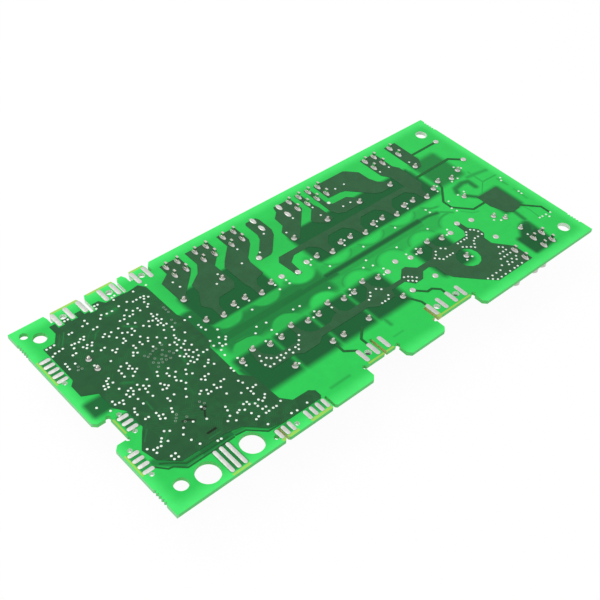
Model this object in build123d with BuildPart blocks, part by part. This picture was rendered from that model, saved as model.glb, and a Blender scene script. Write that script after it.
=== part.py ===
# %% [markdown]
# # Appliance power module
#
# A populated circuit board that switches the mains loads of a household appliance. It lies
# with its solder side up and rests on the tops of its relays, which all have one height.
#
# Frame: +Z up, the origin under the middle of the board in the plane that the relays rest
# on. Places on the board are given from its near left corner, in millimetres, +X along the
# long edge and +Y along the short one.

# %% Tools
import math
import os

from build123d import *

os.makedirs("parts", exist_ok=True)

# %% Driving dimensions: the board
board_length = 198.9
board_width = 89.5
board_thickness = 1.6
copper_thickness = 0.1
copper_gap = 0.4  # bare strip that keeps two copper areas apart

mount_hole = 4.8
mount_hole_left = 7.4  # from the left edge
mount_hole_right = 7.8  # from the right edge
mount_hole_near = 7.7  # from the near edge
mount_hole_far = 7.5  # from the far edge
guide_hole = 8.2
guide_hole_pitch = 17.0
guide_hole_at = (15.95, 5.85)
index_hole = 3.0
index_hole_left = 3.7
index_hole_far = 3.7  # from the far edge
latch_hole = 2.6
small_latch_hole = 1.8

notch_depth = 5.7  # how far the recessed contact tabs stand back from the near edge
notch_1 = (81.0, 96.7)
notch_2 = (115.4, 135.6)
side_notch_depth = 5.7
side_notch = (30.8, 41.0)
relief_radius = 0.9
outer_corner = 1.4

nib_pitch = 1.3
nib_radius = 0.6
nib_count = 5

# %% Driving dimensions: relays
relay_length = 19.0
relay_width = 15.5
relay_height = 15.5
relay_standoff = 0.4
relay_edge = 0.9
relay_pitch = 17.0
coil_pin_spacing = 12.0
common_pin_offset = 2.0
contact_pin_reach = 12.2
pin_width = 1.0
pin_thickness = 0.7
pin_rise = 1.5  # how far a pin stands out of the solder side
relay_overhang = 1.6  # from the coil pins' line, past the common pin, to the case's end
upper_row_at = (54.3, board_width - 35.05)
lower_row_at = (51.73, 32.6)
end_relay_at = (173.0, board_width - 33.05)

# %% Driving dimensions: tab headers and edge contacts
tab_pitch = 5.0
tab_leg_spacing = 5.0
tab_width = 6.3
tab_thickness = 0.8
tab_length = 9.5
header_base_height = 3.5
header_base_depth = 9.0
header_end_wall = 0.9
leg_width = 1.2
leg_rise = 2.4
far_header_y = board_width - 8.7  # the middle of the far row of headers
near_header_y = 8.5

wide_contact = 1.7
fine_contact = 1.4
fine_pitch = 2.5

# %% Driving dimensions: solder joints and small parts
joint_radius = 1.2
joint_height = 0.9
joint_taper = 25
slim_joint_width = 2.0
slim_joint_length = 3.6
pad_radius = 1.15

film_capacitor_pitch = 15.0
film_capacitor_size = (8.5, 18.0, 13.5)
film_capacitor_x = 174.3
varistor_pitch = 7.5
varistor_diameter = 11.0
varistor_thickness = 4.2
varistor_x = 177.2
can_capacitor_pitch = 5.0
can_capacitor_diameter = 10.0
can_capacitor_height = 12.5
can_capacitor_at = (14.15, board_width - 27.75)
wire = 0.7

controller_size = 10.0
controller_thickness = 1.4
controller_leads = 8  # on each side
controller_at = (33.0, 51.6)
driver_size = (4.0, 10.0)
driver_thickness = 1.5
driver_leads = 8
driver_pitch = 1.27
driver_at = ((20.6, 24.5), (44.2, 70.0))
lead_width = 0.5
lead_reach = 1.0
lead_thickness = 0.3

# %% Planes: every sketch is drawn from the board's near left corner
# The relays stand on the component side's copper, and so do all other parts there.
seat = relay_height
board_under = seat + copper_thickness
board_top = board_under + board_thickness
copper_top = board_top + copper_thickness


def level(height):
    """The plane at this height, with its origin over the board's near left corner."""
    return Plane.XY.offset(height).shift_origin((-board_length / 2, -board_width / 2, height))


def outline(points):
    """A closed polygon drawn where its points say."""
    Polygon(*points, align=None)


def save(piece, name):
    """Labels a finished piece and writes it to its own file."""
    piece.part.label = name
    export_step(piece.part, f"parts/{name}.step")


# %% Where the pins are
def relay_pins(at, turn):
    """Coil, coil, common and contact pins. turn is 1, or -1 for a relay turned half round."""
    x, y = at
    first, second = (x, y), (x + coil_pin_spacing, y)
    common = (x + coil_pin_spacing / 2, y - turn * common_pin_offset)
    contact_x = x if turn > 0 else x + coil_pin_spacing
    contact = (contact_x, y + turn * contact_pin_reach)
    return [first, second, common, contact]


def in_row(at, place):
    """The first coil pin of the relay at this place in a row."""
    return (at[0] + place * relay_pitch, at[1])


upper_places = [0, 1, 3, 4, 5, 6]
lower_places = [0, 1, 2, 3, 5]
relays = [(in_row(upper_row_at, place), 1) for place in upper_places]
relays += [(end_relay_at, 1)]
relays += [(in_row(lower_row_at, place), -1) for place in lower_places]

# The third relay of the near row is a changeover type with one more contact.
changeover = in_row(lower_row_at, 2)
changeover_pin = (changeover[0], changeover[1] - contact_pin_reach)

# Unfitted places have bare pads only.
unfitted = relay_pins(in_row(upper_row_at, 2), 1)
unfitted += relay_pins(in_row(lower_row_at, 4), -1)
unfitted += relay_pins(in_row(lower_row_at, 6), -1)
unfitted += [(lower_row_at[0] + 4 * relay_pitch, lower_row_at[1] - contact_pin_reach)]

# Tab headers: the first tab's x, the number of tabs, and the row's middle.
headers = [
    (59.4, 2, far_header_y),
    (72.3, 2, far_header_y),
    (85.2, 2, far_header_y),
    (117.7, 4, far_header_y),
    (159.0, 2, far_header_y),
    (173.3, 1, far_header_y),
    (165.2, 1, near_header_y),
    (176.4, 2, near_header_y),
]
tabs = [(x + i * tab_pitch, y) for x, count, y in headers for i in range(count)]
legs = [(x, y + side * tab_leg_spacing / 2) for x, y in tabs for side in (-1, 1)]
bare_legs = [(x, far_header_y + side * tab_leg_spacing / 2) for x in (99.7, 112.7) for side in (-1, 1)]


def two_legs(at, spacing):
    """The legs of a part that stands along Y."""
    return [(at[0], at[1] - spacing / 2), (at[0], at[1] + spacing / 2)]


# The film capacitor and the varistor share the room between the near headers and the end relay.
supply_room_near = near_header_y + header_base_depth / 2
supply_room_far = end_relay_at[1] - common_pin_offset - relay_overhang
spare_room = supply_room_far - supply_room_near - film_capacitor_size[1] - varistor_diameter
varistor_at = (varistor_x, supply_room_near + 0.281 * spare_room + varistor_diameter / 2)
film_capacitor_at = (film_capacitor_x, supply_room_far - 0.705 * spare_room - film_capacitor_size[1] / 2)

small_legs = two_legs(film_capacitor_at, film_capacitor_pitch)
small_legs += two_legs(varistor_at, varistor_pitch)
small_legs += two_legs(can_capacitor_at, can_capacitor_pitch)
test_pads = [(192.3, board_width - 14.7), (192.3, board_width - 29.8)]

# %% Edge contacts: rows of tinned fingers
# Each row: name, finger width, the first finger's middle, the step to the next, the number
# of fingers and the finger's length along the way that the plug slides.
far_contact_y = board_width - 3.95
far_contact_length = 6.3
near_contact_y = 9.6
near_contact_length = 5.9
side_contact_x = 3.05
side_length = 4.0
side_row_y = board_width - 27.3  # the first finger of the far row at the side
contact_rows = [
    ("edge_contacts_far_1", wide_contact, (15.8, far_contact_y), (5.0, 0), 3, far_contact_length),
    ("edge_contacts_far_2", wide_contact, (34.35, far_contact_y), (5.0, 0), 2, far_contact_length),
    ("edge_contacts_far_3", wide_contact, (47.95, far_contact_y), (5.0, 0), 2, far_contact_length),
    ("edge_contacts_near_1", wide_contact, (84.0, near_contact_y), (5.0, 0), 3, near_contact_length),
    ("edge_contacts_near_2", wide_contact, (118.1, near_contact_y), (5.0, 0), 4, near_contact_length),
    ("edge_contacts_long", fine_contact, (21.9, 6.0), (fine_pitch, 0), 3, 9.6),
    ("edge_contacts_fine_1", fine_contact, (41.4, 3.0), (fine_pitch, 0), 3, 3.9),
    ("edge_contacts_fine_2", fine_contact, (53.2, 3.0), (fine_pitch, 0), 4, 3.9),
    ("edge_contacts_side_1", fine_contact, (side_contact_x, side_row_y), (0, fine_pitch), 5, side_length),
    ("edge_contacts_side_2", fine_contact, (8.8, 33.3), (0, fine_pitch), 3, side_length),
    ("edge_contacts_side_3", fine_contact, (side_contact_x, 17.5), (0, fine_pitch), 4, side_length),
]


def finger_places(first, step, count):
    """The middles of the fingers of one row."""
    return [(first[0] + i * step[0], first[1] + i * step[1]) for i in range(count)]


def finger_angle(step):
    """Fingers lie across their row."""
    return 90 if step[0] else 0


# %% Board outline: slots, notches and break-off edges
# Keying slots between the far contact tabs: left side, right side, depth, and how far each
# side flares out over the lead-in at the mouth.
tab_slots = [
    (13.8, 15.0, 4.2, 0.5, 0.9),
    (26.8, 28.5, 8.1, 0.6, 0.9),
    (40.8, 41.9, 7.3, 0.5, 0.9),
    (45.5, 46.9, 4.1, 0.8, 0.9),
    (54.0, 54.9, 4.2, 0.4, 1.5),
]
slot_lead_in = 1.7
near_slots = [(42.1, 43.0), (61.9, 62.8)]
near_slot_depth = 5.0
near_slot_flare = 0.6
key_slots = [(91.1, 13.4), (116.6, 12.0)]  # middle and floor, cut into the recessed tabs
key_slot_width = 1.2
over = 1.0  # cutters reach this far past an edge

far_latch_y = board_width - 4.05
near_latch_y = 9.6
wide_latch_holes = [(x, far_latch_y) for x in (18.4, 36.85, 50.5)]
wide_latch_holes += [(x, near_latch_y) for x in (86.5, 120.6, 130.6)]
fine_latch_holes = [(2.9, side_row_y - 1.4), (3.0, 15.9), (3.1, 26.8), (8.6, 40.0), (8.6, 31.8)]
fine_latch_holes += [(39.9, 2.7), (48.4, 2.7)]
# Edge and first nib of each break-off row.
nib_rows = [(0, 5.4), (0, board_width - 11.5), (board_length, 6.0), (board_length, board_width - 7.9)]

mount_holes = [
    (x, y)
    for x in (mount_hole_left, board_length - mount_hole_right)
    for y in (mount_hole_near, board_width - mount_hole_far)
]
guide_holes = [(guide_hole_at[0] + i * guide_hole_pitch, guide_hole_at[1]) for i in range(2)]


def draw_tab_slot(left, right, depth, left_flare, right_flare):
    """One keying slot, open at the far edge."""
    floor = board_width - depth
    mouth = board_width - slot_lead_in
    outline(
        [
            (left, floor),
            (left, mouth),
            (left - left_flare, board_width),
            (left - left_flare, board_width + over),
            (right + right_flare, board_width + over),
            (right + right_flare, board_width),
            (right, mouth),
            (right, floor),
        ]
    )


def draw_near_slot(left, right):
    """One keying slot with a flared mouth, open at the near edge."""
    outline(
        [
            (left, near_slot_depth),
            (left, near_slot_flare),
            (left - near_slot_flare, 0),
            (left - near_slot_flare, -over),
            (right + near_slot_flare, -over),
            (right + near_slot_flare, 0),
            (right, near_slot_flare),
            (right, near_slot_depth),
        ]
    )


def draw_notch(left, right):
    """A notch in the near edge, with round reliefs in its inner corners."""
    with Locations(((left + right) / 2, (notch_depth - over) / 2)):
        Rectangle(right - left, notch_depth + over)
    with Locations((left, notch_depth), (right, notch_depth)):
        RegularPolygon(relief_radius, 8)


def pin_holes(places, width, length):
    """Close-fitting holes for leads."""
    with Locations(*places):
        Rectangle(width, length)


with BuildSketch() as cut_outs:
    for slot in tab_slots:
        draw_tab_slot(*slot)
    for slot in near_slots:
        draw_near_slot(*slot)
    for notch in (notch_1, notch_2):
        draw_notch(*notch)
    with Locations(((side_notch_depth - over) / 2, sum(side_notch) / 2)):
        Rectangle(side_notch_depth + over, side_notch[1] - side_notch[0])
    with Locations(*[(side_notch_depth - relief_radius / 2, y) for y in side_notch]):
        RegularPolygon(relief_radius, 8)
    for middle, floor in key_slots:
        with Locations((middle, (notch_depth - over + floor) / 2)):
            Rectangle(key_slot_width, floor - notch_depth + over)

with BuildSketch() as round_holes:
    with Locations(*mount_holes):
        Circle(mount_hole / 2)
    with Locations(*guide_holes):
        Circle(guide_hole / 2)
    with Locations((index_hole_left, board_width - index_hole_far)):
        Circle(index_hole / 2)
    with Locations(*wide_latch_holes):
        RegularPolygon(latch_hole / 2, 8, rotation=22.5)
    with Locations(*fine_latch_holes):
        RegularPolygon(small_latch_hole / 2, 6)

corner_places = [
    (notch_1[0], 0),
    (notch_1[1], 0),
    (notch_2[0], 0),
    (notch_2[1], 0),
    (0, side_notch[0]),
    (0, side_notch[1]),
]


def is_corner(vertex):
    """True at the outer corners of the notches."""
    return any(math.dist((vertex.X, vertex.Y), place) < 0.01 for place in corner_places)


with BuildSketch() as blank:
    with Locations((board_length / 2, board_width / 2)):
        Rectangle(board_length, board_width)
    add(cut_outs.sketch, mode=Mode.SUBTRACT)
    chamfer(blank.vertices().filter_by(is_corner), outer_corner)

relay_pin_places = [pin for at, turn in relays for pin in relay_pins(at, turn)] + [changeover_pin]

with BuildPart() as circuit_board:
    with BuildSketch(level(board_under)):
        add(blank.sketch)
        add(round_holes.sketch, mode=Mode.SUBTRACT)
        for edge, first in nib_rows:
            with Locations(*[(edge, first + i * nib_pitch) for i in range(nib_count)]):
                RegularPolygon(nib_radius, 4, mode=Mode.SUBTRACT)
    extrude(amount=board_thickness)
    with BuildSketch(level(board_under)):
        pin_holes(relay_pin_places, pin_width, pin_thickness)
        pin_holes(legs, tab_thickness, leg_width)
        pin_holes(small_legs, wire, wire)
    extrude(amount=board_thickness, mode=Mode.SUBTRACT)
save(circuit_board, "circuit_board")

# %% Copper areas on the solder side
# Each is one island of copper under the solder mask, drawn by its corners.
def from_far_edge(points):
    """Corners given by their X and their distance in from the far edge."""
    return [(x, board_width - depth) for x, depth in points]


control_plane = from_far_edge(
    [
        (5.4, 12.6), (9.8, 12.5), (12.3, 9.1), (12.3, 5.3), (31.6, 5.3), (33.0, 7.4), (40.4, 7.4),
        (41.6, 7.9), (46.4, 7.3), (48.2, 9.8),
    ]
)
control_plane += [
    (48.2, 62.6), (49.4, 60.1), (49.4, 46.1), (47.6, 44.1), (47.2, 29.1), (50.4, 25.5),
    (50.8, 13.7), (53.6, 10.4), (60.0, 10.2), (61.8, 8.7), (61.8, 6.3), (61.0, 5.3), (47.4, 5.4),
    (40.4, 6.9), (36.2, 11.0), (34.6, 12.4), (28.6, 13.7), (12.6, 13.9), (7.0, 19.1), (5.8, 24.6),
    (10.0, 30.1), (11.3, 31.6), (11.3, 39.4), (8.6, 43.1), (8.6, 50.6), (3.7, 53.1), (3.7, 58.4),
    (5.4, 60.1),
]
header_area_1 = from_far_edge(
    [
        (57.8, 4.6), (66.0, 4.6), (66.0, 11.9), (64.0, 14.3), (56.6, 21.1), (55.8, 24.2),
        (53.2, 24.2), (53.2, 11.9), (57.6, 9.1),
    ]
)
header_area_2 = from_far_edge(
    [
        (69.0, 4.6), (79.2, 4.6), (79.2, 10.1), (77.0, 12.9), (73.5, 16.1), (73.5, 26.7),
        (71.8, 29.1), (64.6, 29.5), (62.2, 32.1), (61.4, 38.1), (59.2, 38.1), (59.2, 31.9),
        (57.1, 28.9), (60.6, 23.3), (60.9, 18.9), (66.2, 15.5), (69.0, 11.7),
    ]
)
header_area_3 = from_far_edge(
    [
        (83.5, 4.6), (92.0, 4.6), (92.0, 12.9), (90.8, 15.1), (85.4, 20.3), (84.5, 22.5),
        (84.5, 29.5), (80.6, 30.5), (79.0, 32.7), (78.4, 38.1), (76.2, 38.1), (76.2, 32.1),
        (75.6, 30.1), (75.6, 18.9), (78.0, 16.1), (83.5, 10.9),
    ]
)
header_area_4 = from_far_edge(
    [
        (96.8, 5.4), (101.5, 5.4), (102.2, 6.9), (102.2, 13.9), (101.0, 16.5), (94.4, 23.3),
        (92.8, 24.1), (88.3, 24.1), (88.3, 21.5), (90.5, 20.3), (95.2, 15.3), (96.1, 12.9),
        (96.1, 6.3),
    ]
)
header_area_5 = from_far_edge(
    [
        (111.0, 4.9), (119.3, 4.9), (119.3, 11.9), (113.0, 18.3), (107.0, 24.2), (104.0, 24.2),
        (104.0, 17.5), (106.8, 14.9), (107.2, 10.1), (110.0, 7.7),
    ]
)
header_area_6 = from_far_edge(
    [
        (121.8, 4.9), (124.1, 4.9), (124.1, 12.9), (124.8, 15.5), (124.8, 23.5), (121.0, 24.0),
        (117.4, 20.9), (117.4, 18.9), (121.8, 14.5),
    ]
)
header_area_7 = from_far_edge(
    [
        (126.8, 4.9), (129.0, 4.9), (129.0, 16.1), (130.6, 17.2), (137.4, 17.4), (140.8, 20.7),
        (140.8, 23.9), (130.8, 23.9), (128.2, 22.5), (126.8, 20.1),
    ]
)
header_area_8 = from_far_edge(
    [
        (131.5, 5.1), (147.4, 5.1), (148.8, 6.1), (152.2, 9.5), (152.5, 14.9), (153.8, 18.1),
        (157.6, 21.5), (157.6, 24.0), (150.4, 24.0), (147.4, 22.5), (142.2, 17.1), (139.8, 14.7),
        (137.6, 14.0), (131.5, 13.8),
    ]
)
header_area_9 = from_far_edge(
    [
        (157.7, 4.6), (165.7, 4.6), (165.7, 14.9), (167.3, 17.5), (167.1, 29.5), (160.0, 29.5),
        (160.0, 19.9), (157.7, 16.5),
    ]
)
header_area_10 = from_far_edge(
    [
        (171.7, 4.6), (177.8, 4.6), (177.8, 18.5), (175.2, 22.3), (171.7, 22.3),
    ]
)
mains_area = [
    (56.6, 35.6), (58.8, 35.6), (59.0, 31.4), (62.0, 27.9), (71.4, 27.9), (73.6, 30.6),
    (73.8, 35.6), (75.8, 35.6), (76.0, 31.0), (77.8, 28.4), (80.0, 27.4), (86.6, 27.4),
    (88.8, 28.9), (90.8, 29.4), (90.9, 35.6), (92.7, 35.6), (92.6, 29.4), (94.6, 27.5),
    (103.2, 27.4), (107.6, 31.2), (107.8, 35.6), (109.8, 35.6), (110.0, 31.2), (113.4, 27.0),
    (120.6, 27.0), (124.6, 30.4), (126.4, 30.4), (129.6, 27.4), (137.0, 27.3), (141.6, 30.8),
    (141.7, 35.6), (143.8, 35.6), (143.8, 30.8), (147.6, 27.8), (157.0, 27.9), (158.7, 30.2),
    (158.9, 35.6), (160.8, 35.6), (161.0, 30.6), (163.8, 27.4), (163.8, 24.6), (161.7, 22.8),
    (161.7, 19.1), (167.3, 12.6), (167.3, 4.3), (148.2, 4.3), (143.0, 9.1), (136.4, 15.9),
    (135.2, 19.1), (135.2, 23.4), (133.5, 25.0), (130.0, 24.8), (127.0, 22.1), (123.2, 22.1),
    (120.8, 25.2), (114.0, 25.1), (112.8, 22.2), (104.8, 22.2), (101.4, 24.3), (79.6, 24.4),
    (76.8, 22.6), (70.0, 22.6), (67.4, 24.1), (57.0, 24.1), (55.6, 26.4), (55.6, 30.2),
]
island_radius = 4.8  # bare clearing round a contact pin inside the mains area
island_shift = 1.1  # its middle lies this far in front of the pin
supply_area = [
    (178.0, 40.1), (188.8, 39.9), (188.8, 27.8), (186.8, 25.9), (182.4, 25.5), (180.4, 27.4),
    (178.0, 33.4),
]
bus_reach = 5.55  # from the coil pins' line to the bus
bus_width = 2.6
bus_end = 161.6
bus_start = 2  # the relay place where the bus begins
bus_drops = [3, 4, 5, 6]  # relay places that hang on it
funnel_shoulder = 4.55  # from a common pin to the shoulder of its funnel


def draw_stroke(points, width):
    """A track of one width with mitred bends, running half a width past its two ends."""
    path = [Vector(*point) for point in points]
    runs = [(end - start).normalized() for start, end in zip(path, path[1:])]
    path[0] -= runs[0] * (width / 2)
    path[-1] += runs[-1] * (width / 2)
    left, right = [], []
    for i, place in enumerate(path):
        coming, going = runs[max(i - 1, 0)], runs[min(i, len(runs) - 1)]
        across = (coming + going).normalized().rotate(Axis.Z, 90)
        reach = width / 2 / across.dot(coming.rotate(Axis.Z, 90))
        left.append(place + across * reach)
        right.append(place - across * reach)
    outline([(place.X, place.Y) for place in left + right[::-1]])


def draw_bus():
    """The far row's common bus, with a funnel down to each common pin."""
    bus_near = upper_row_at[1] + bus_reach
    bus_far = bus_near + bus_width
    x, y = relay_pins(in_row(upper_row_at, bus_start), 1)[2]
    outline(
        [
            (x - 0.1, bus_far),
            (bus_end, bus_far),
            (bus_end, bus_near),
            (x + 4.9, bus_near),
            (x + 1.7, y + funnel_shoulder + 0.8),
            (x + 1.1, y - 1.0),
            (x - 1.1, y - 1.0),
            (x - 1.9, bus_near + 0.4),
        ]
    )
    for place in bus_drops:
        x, y = relay_pins(in_row(upper_row_at, place), 1)[2]
        outline(
            [
                (x - 4.8, bus_near),
                (x - 2.0, y + funnel_shoulder),
                (x - 1.1, y - 1.0),
                (x + 1.1, y - 1.0),
                (x + 2.0, y + funnel_shoulder),
                (x + 5.0, bus_near),
            ]
        )


contact_pins = [relay_pins(in_row(lower_row_at, place), -1)[3] for place in range(7)]
island_at = (contact_pins[5][0], contact_pins[5][1] - island_shift)
finger_top = near_contact_y + near_contact_length / 2
near_fingers = [place[0] for row in contact_rows[3:5] for place in finger_places(*row[2:5])]


def from_place(place, steps):
    """A track's bends, each given by how far it lies from one pin, pad or finger."""
    return [(place[0] + right, place[1] + up) for right, up in steps]


relay_to_supply = [(0, 0), (-1.4, -3.55), (-7.6, -9.85), (-7.6, -14.05), (-1.6, -20.15), (5.6, -20.15)]
finger_ends = [(x, finger_top) for x in near_fingers]
signal_tracks = [
    (from_place(end_relay_at, relay_to_supply), 0.9),
    ([(187.6, 27.0), (193.8, 20.8), (193.8, 17.2)], 0.9),
    (from_place(test_pads[0], [(-14.5, -0.1), (0, 0)]), 1.0),
    (from_place(test_pads[1], [(-25.2, 3.7), (-4.8, 4.2), (0, 0)]), 1.1),
    ([contact_pins[1], *from_place(finger_ends[0], [(-3.5, 2.55), (0, 0)])], 0.9),
    (from_place(finger_ends[1], [(4.0, 6.35), (0, 2.75), (0, 0)]), 0.9),
    ([contact_pins[3], *from_place(finger_ends[3], [(0, 1.95), (0, 0)])], 0.9),
    ([unfitted[-1], *from_place(finger_ends[5], [(-4.6, 4.15), (-2.3, 4.15), (0, 1.95), (0, 0)])], 0.9),
    ([(5.0, 17.5), (7.8, 14.3), (9.4, 14.0), (12.6, 11.0), (30.1, 11.0)], 0.5),
    ([(7.0, 17.4), (10.2, 15.2), (13.2, 12.6), (28.6, 12.4)], 0.5),
    ([(31.0, 11.2), (34.6, 10.7), (39.6, 6.0), (46.2, 5.7)], 0.5),
]


def draw_fingers(row, gap=0.0):
    """One row of fingers, each widened all round by a gap."""
    _, width, first, step, count, length = row
    with Locations(*finger_places(first, step, count)):
        Rectangle(length + 2 * gap, width + 2 * gap, rotation=finger_angle(step))


def draw_cut_out_gaps():
    """The clearances along the board's slots and notches."""
    add(offset(cut_outs.sketch, amount=copper_gap, kind=Kind.INTERSECTION, mode=Mode.PRIVATE))


def draw_all_pin_holes():
    """Every hole that a lead passes through, in copper and solder as in the board."""
    pin_holes(relay_pin_places, pin_width, pin_thickness)
    pin_holes(legs, tab_thickness, leg_width)
    pin_holes(small_legs, wire, wire)


with BuildSketch() as clearances:
    for row in contact_rows:
        draw_fingers(row, copper_gap)
    draw_cut_out_gaps()
with BuildSketch() as all_fingers:
    for row in contact_rows:
        draw_fingers(row)
with BuildSketch() as lead_holes:
    draw_all_pin_holes()

# %% Copper pieces
copper_areas = {
    "copper_control_plane": [control_plane],
    "copper_header_areas": [
        header_area_1,
        header_area_2,
        header_area_3,
        header_area_4,
        header_area_5,
        header_area_6,
        header_area_7,
        header_area_8,
        header_area_10,
    ],
    "copper_mains_area": [mains_area],
    "copper_supply_area": [supply_area],
}
copper_sketches = {}

for name, areas in copper_areas.items():
    with BuildSketch() as area:
        for points in areas:
            outline(points)
        if name == "copper_mains_area":
            with Locations(island_at):
                RegularPolygon(island_radius, 12, mode=Mode.SUBTRACT)
        add(clearances.sketch, mode=Mode.SUBTRACT)
    copper_sketches[name] = area.sketch

with BuildSketch() as bus:
    draw_bus()
    outline(header_area_9)
copper_sketches["copper_far_bus"] = bus.sketch

with BuildSketch() as tracks:
    for points, width in signal_tracks:
        draw_stroke(points, width)
    for sketch in copper_sketches.values():
        add(sketch, mode=Mode.SUBTRACT)
    add(all_fingers.sketch, mode=Mode.SUBTRACT)
copper_sketches["copper_signal_tracks"] = tracks.sketch

for name, sketch in copper_sketches.items():
    with BuildPart() as copper:
        with BuildSketch(level(board_top)):
            add(sketch)
            add(lead_holes.sketch, mode=Mode.SUBTRACT)
        extrude(amount=copper_thickness)
    save(copper, name)

for row in contact_rows:
    with BuildPart() as fingers:
        with BuildSketch(level(board_top)):
            draw_fingers(row)
        extrude(amount=copper_thickness)
    save(fingers, row[0])

# %% Copper on the component side
# A broad band of coil tracks runs between the two relay rows, with arms that end at the coil
# pins of each relay and arches of bare board between them.
arms_left = 48.6
arms_right = 168.6
coil_band_width = 6.2
arch_far = upper_row_at[1] - pin_thickness / 2
arch_near = lower_row_at[1] + pin_thickness / 2
arch_depth = (arch_far - arch_near - coil_band_width) / 2
arch_half = 5.2
arch_top_half = 2.8
under_blocks = [
    ((5.0, 46.4), (7.0, 8.0)),
    ((176.6, 12.6), (11.0, 15.4)),
]


def draw_arch(middle, start, depth):
    """A bare gap between two arms of the coil tracks, narrowing away from the relay."""
    outline(
        [
            (middle - arch_half, start),
            (middle - arch_top_half, start + depth),
            (middle + arch_top_half, start + depth),
            (middle + arch_half, start),
        ]
    )


with BuildPart() as component_side_copper:
    with BuildSketch(level(board_under)):
        with Locations(((arms_left + arms_right) / 2, (arch_near + arch_far) / 2)):
            Rectangle(arms_right - arms_left, arch_far - arch_near)
        with BuildSketch(mode=Mode.PRIVATE) as arches:
            for place in range(7):
                far_middle = relay_pins(in_row(upper_row_at, place), 1)[2][0]
                near_middle = relay_pins(in_row(lower_row_at, place), -1)[2][0]
                draw_arch(far_middle, arch_far, -arch_depth)
                draw_arch(near_middle, arch_near, arch_depth)
        add(arches.sketch, mode=Mode.SUBTRACT)
        for place, size in under_blocks:
            with Locations(place):
                Rectangle(*size)
        add(lead_holes.sketch, mode=Mode.SUBTRACT)
    extrude(amount=-copper_thickness)
save(component_side_copper, "copper_component_side")


# %% Solder joints and bare pads
def on_copper(place):
    """True where a copper area lies under this place."""
    point = Vector(place[0], place[1], 0)
    return any(face.is_inside(point) for sketch in copper_sketches.values() for face in sketch.faces())


def seats(places):
    """The places in two groups: those on a copper area and those on the bare board."""
    raised = [place for place in places if on_copper(place)]
    flush = [place for place in places if place not in raised]
    return [(copper_top, raised), (board_top, flush)]


def draw_round_joint():
    """The foot of a joint round a pin."""
    RegularPolygon(joint_radius, 6, rotation=30)


def draw_slim_joint():
    """The foot of a joint on the longer pad of a tab's leg."""
    Rectangle(slim_joint_width, slim_joint_length)


def solder(places, draw_foot, lead, name):
    """A cone of solder round each lead at these places."""
    with BuildPart() as joints:
        for height, group in seats(places):
            if group:
                with BuildSketch(level(height)):
                    with Locations(*group):
                        draw_foot()
                extrude(amount=joint_height, taper=joint_taper)
        with BuildSketch(level(board_top)):
            pin_holes(places, *lead)
        extrude(amount=copper_thickness + joint_height, mode=Mode.SUBTRACT)
    save(joints, name)


solder(relay_pin_places, draw_round_joint, (pin_width, pin_thickness), "solder_relay_pins")
solder(small_legs, draw_round_joint, (wire, wire), "solder_small_parts")
solder(legs, draw_slim_joint, (tab_thickness, leg_width), "solder_tab_legs")

with BuildPart() as bare_pads:
    for height, group in seats(unfitted + test_pads):
        if group:
            with BuildSketch(level(height)):
                with Locations(*group):
                    RegularPolygon(pad_radius, 6, rotation=30)
            extrude(amount=copper_thickness)
    for height, group in seats(bare_legs):
        if group:
            with BuildSketch(level(height)):
                with Locations(*group):
                    draw_slim_joint()
            extrude(amount=copper_thickness)
save(bare_pads, "bare_pads")

# %% Relays
# A closed case with bevelled edges that stands off the board on two ribs.
case_height = relay_height - relay_standoff
rib_width = 1.2

for number, (at, turn) in enumerate(relays, 1):
    common = relay_pins(at, turn)[2]
    middle = (common[0], common[1] + turn * (relay_length / 2 - relay_overhang))
    ribs = [(middle[0] + side * (relay_width - rib_width) / 2, middle[1]) for side in (-1, 1)]
    with BuildPart() as relay:
        with BuildSketch(level(0)) as case:
            with Locations(middle):
                Rectangle(relay_width, relay_length)
            chamfer(case.vertices(), relay_edge)
        extrude(amount=case_height)
        chamfer(relay.edges().group_by(Axis.Z)[0], relay_edge / 2)
        with BuildSketch(level(case_height)):
            with Locations(*ribs):
                Rectangle(rib_width, relay_length - 4 * relay_edge)
        extrude(amount=relay_standoff)
    save(relay, f"relay_{number:02d}")

with BuildPart() as relay_pin_set:
    with BuildSketch(level(case_height)):
        pin_holes(relay_pin_places, pin_width, pin_thickness)
    extrude(amount=board_top + pin_rise - case_height)
save(relay_pin_set, "relay_pins")

# %% Tab headers
base_under = seat - header_base_height
blade_lead_in = 1.2

for number, (x, count, y) in enumerate(headers, 1):
    middle = (x + (count - 1) * tab_pitch / 2, y)
    width = (count - 1) * tab_pitch + tab_thickness + 2 * header_end_wall + 2.4
    slots = [(x + i * tab_pitch, y) for i in range(count)]
    with BuildPart() as base:
        with BuildSketch(level(base_under)) as foot:
            with Locations(middle):
                Rectangle(width, header_base_depth)
            chamfer(foot.vertices(), header_end_wall)
            with Locations(*slots):
                Rectangle(tab_thickness, tab_width, mode=Mode.SUBTRACT)
        extrude(amount=header_base_height)
    save(base, f"tab_header_{number}")


def draw_tab():
    """A flat tab seen from its side: the blade hangs down and two legs stand up."""
    half = tab_width / 2
    inner = (tab_leg_spacing - leg_width) / 2
    outer = (tab_leg_spacing + leg_width) / 2
    tip = -header_base_height - tab_length
    leg_top = board_top + leg_rise - seat
    Polygon(
        (-half + blade_lead_in, tip),
        (half - blade_lead_in, tip),
        (half, tip + blade_lead_in),
        (half, 0),
        (outer, 0),
        (outer, leg_top),
        (inner, leg_top),
        (inner, 0),
        (-inner, 0),
        (-inner, leg_top),
        (-outer, leg_top),
        (-outer, 0),
        (-half, 0),
        (-half, tip + blade_lead_in),
        align=None,
    )


with BuildPart() as tab_set:
    for x, y in tabs:
        foot = (x - board_length / 2, y - board_width / 2, seat)
        with BuildSketch(Plane(origin=foot, x_dir=(0, 1, 0), z_dir=(1, 0, 0))):
            draw_tab()
        extrude(amount=tab_thickness / 2, both=True)
save(tab_set, "header_tabs")

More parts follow.
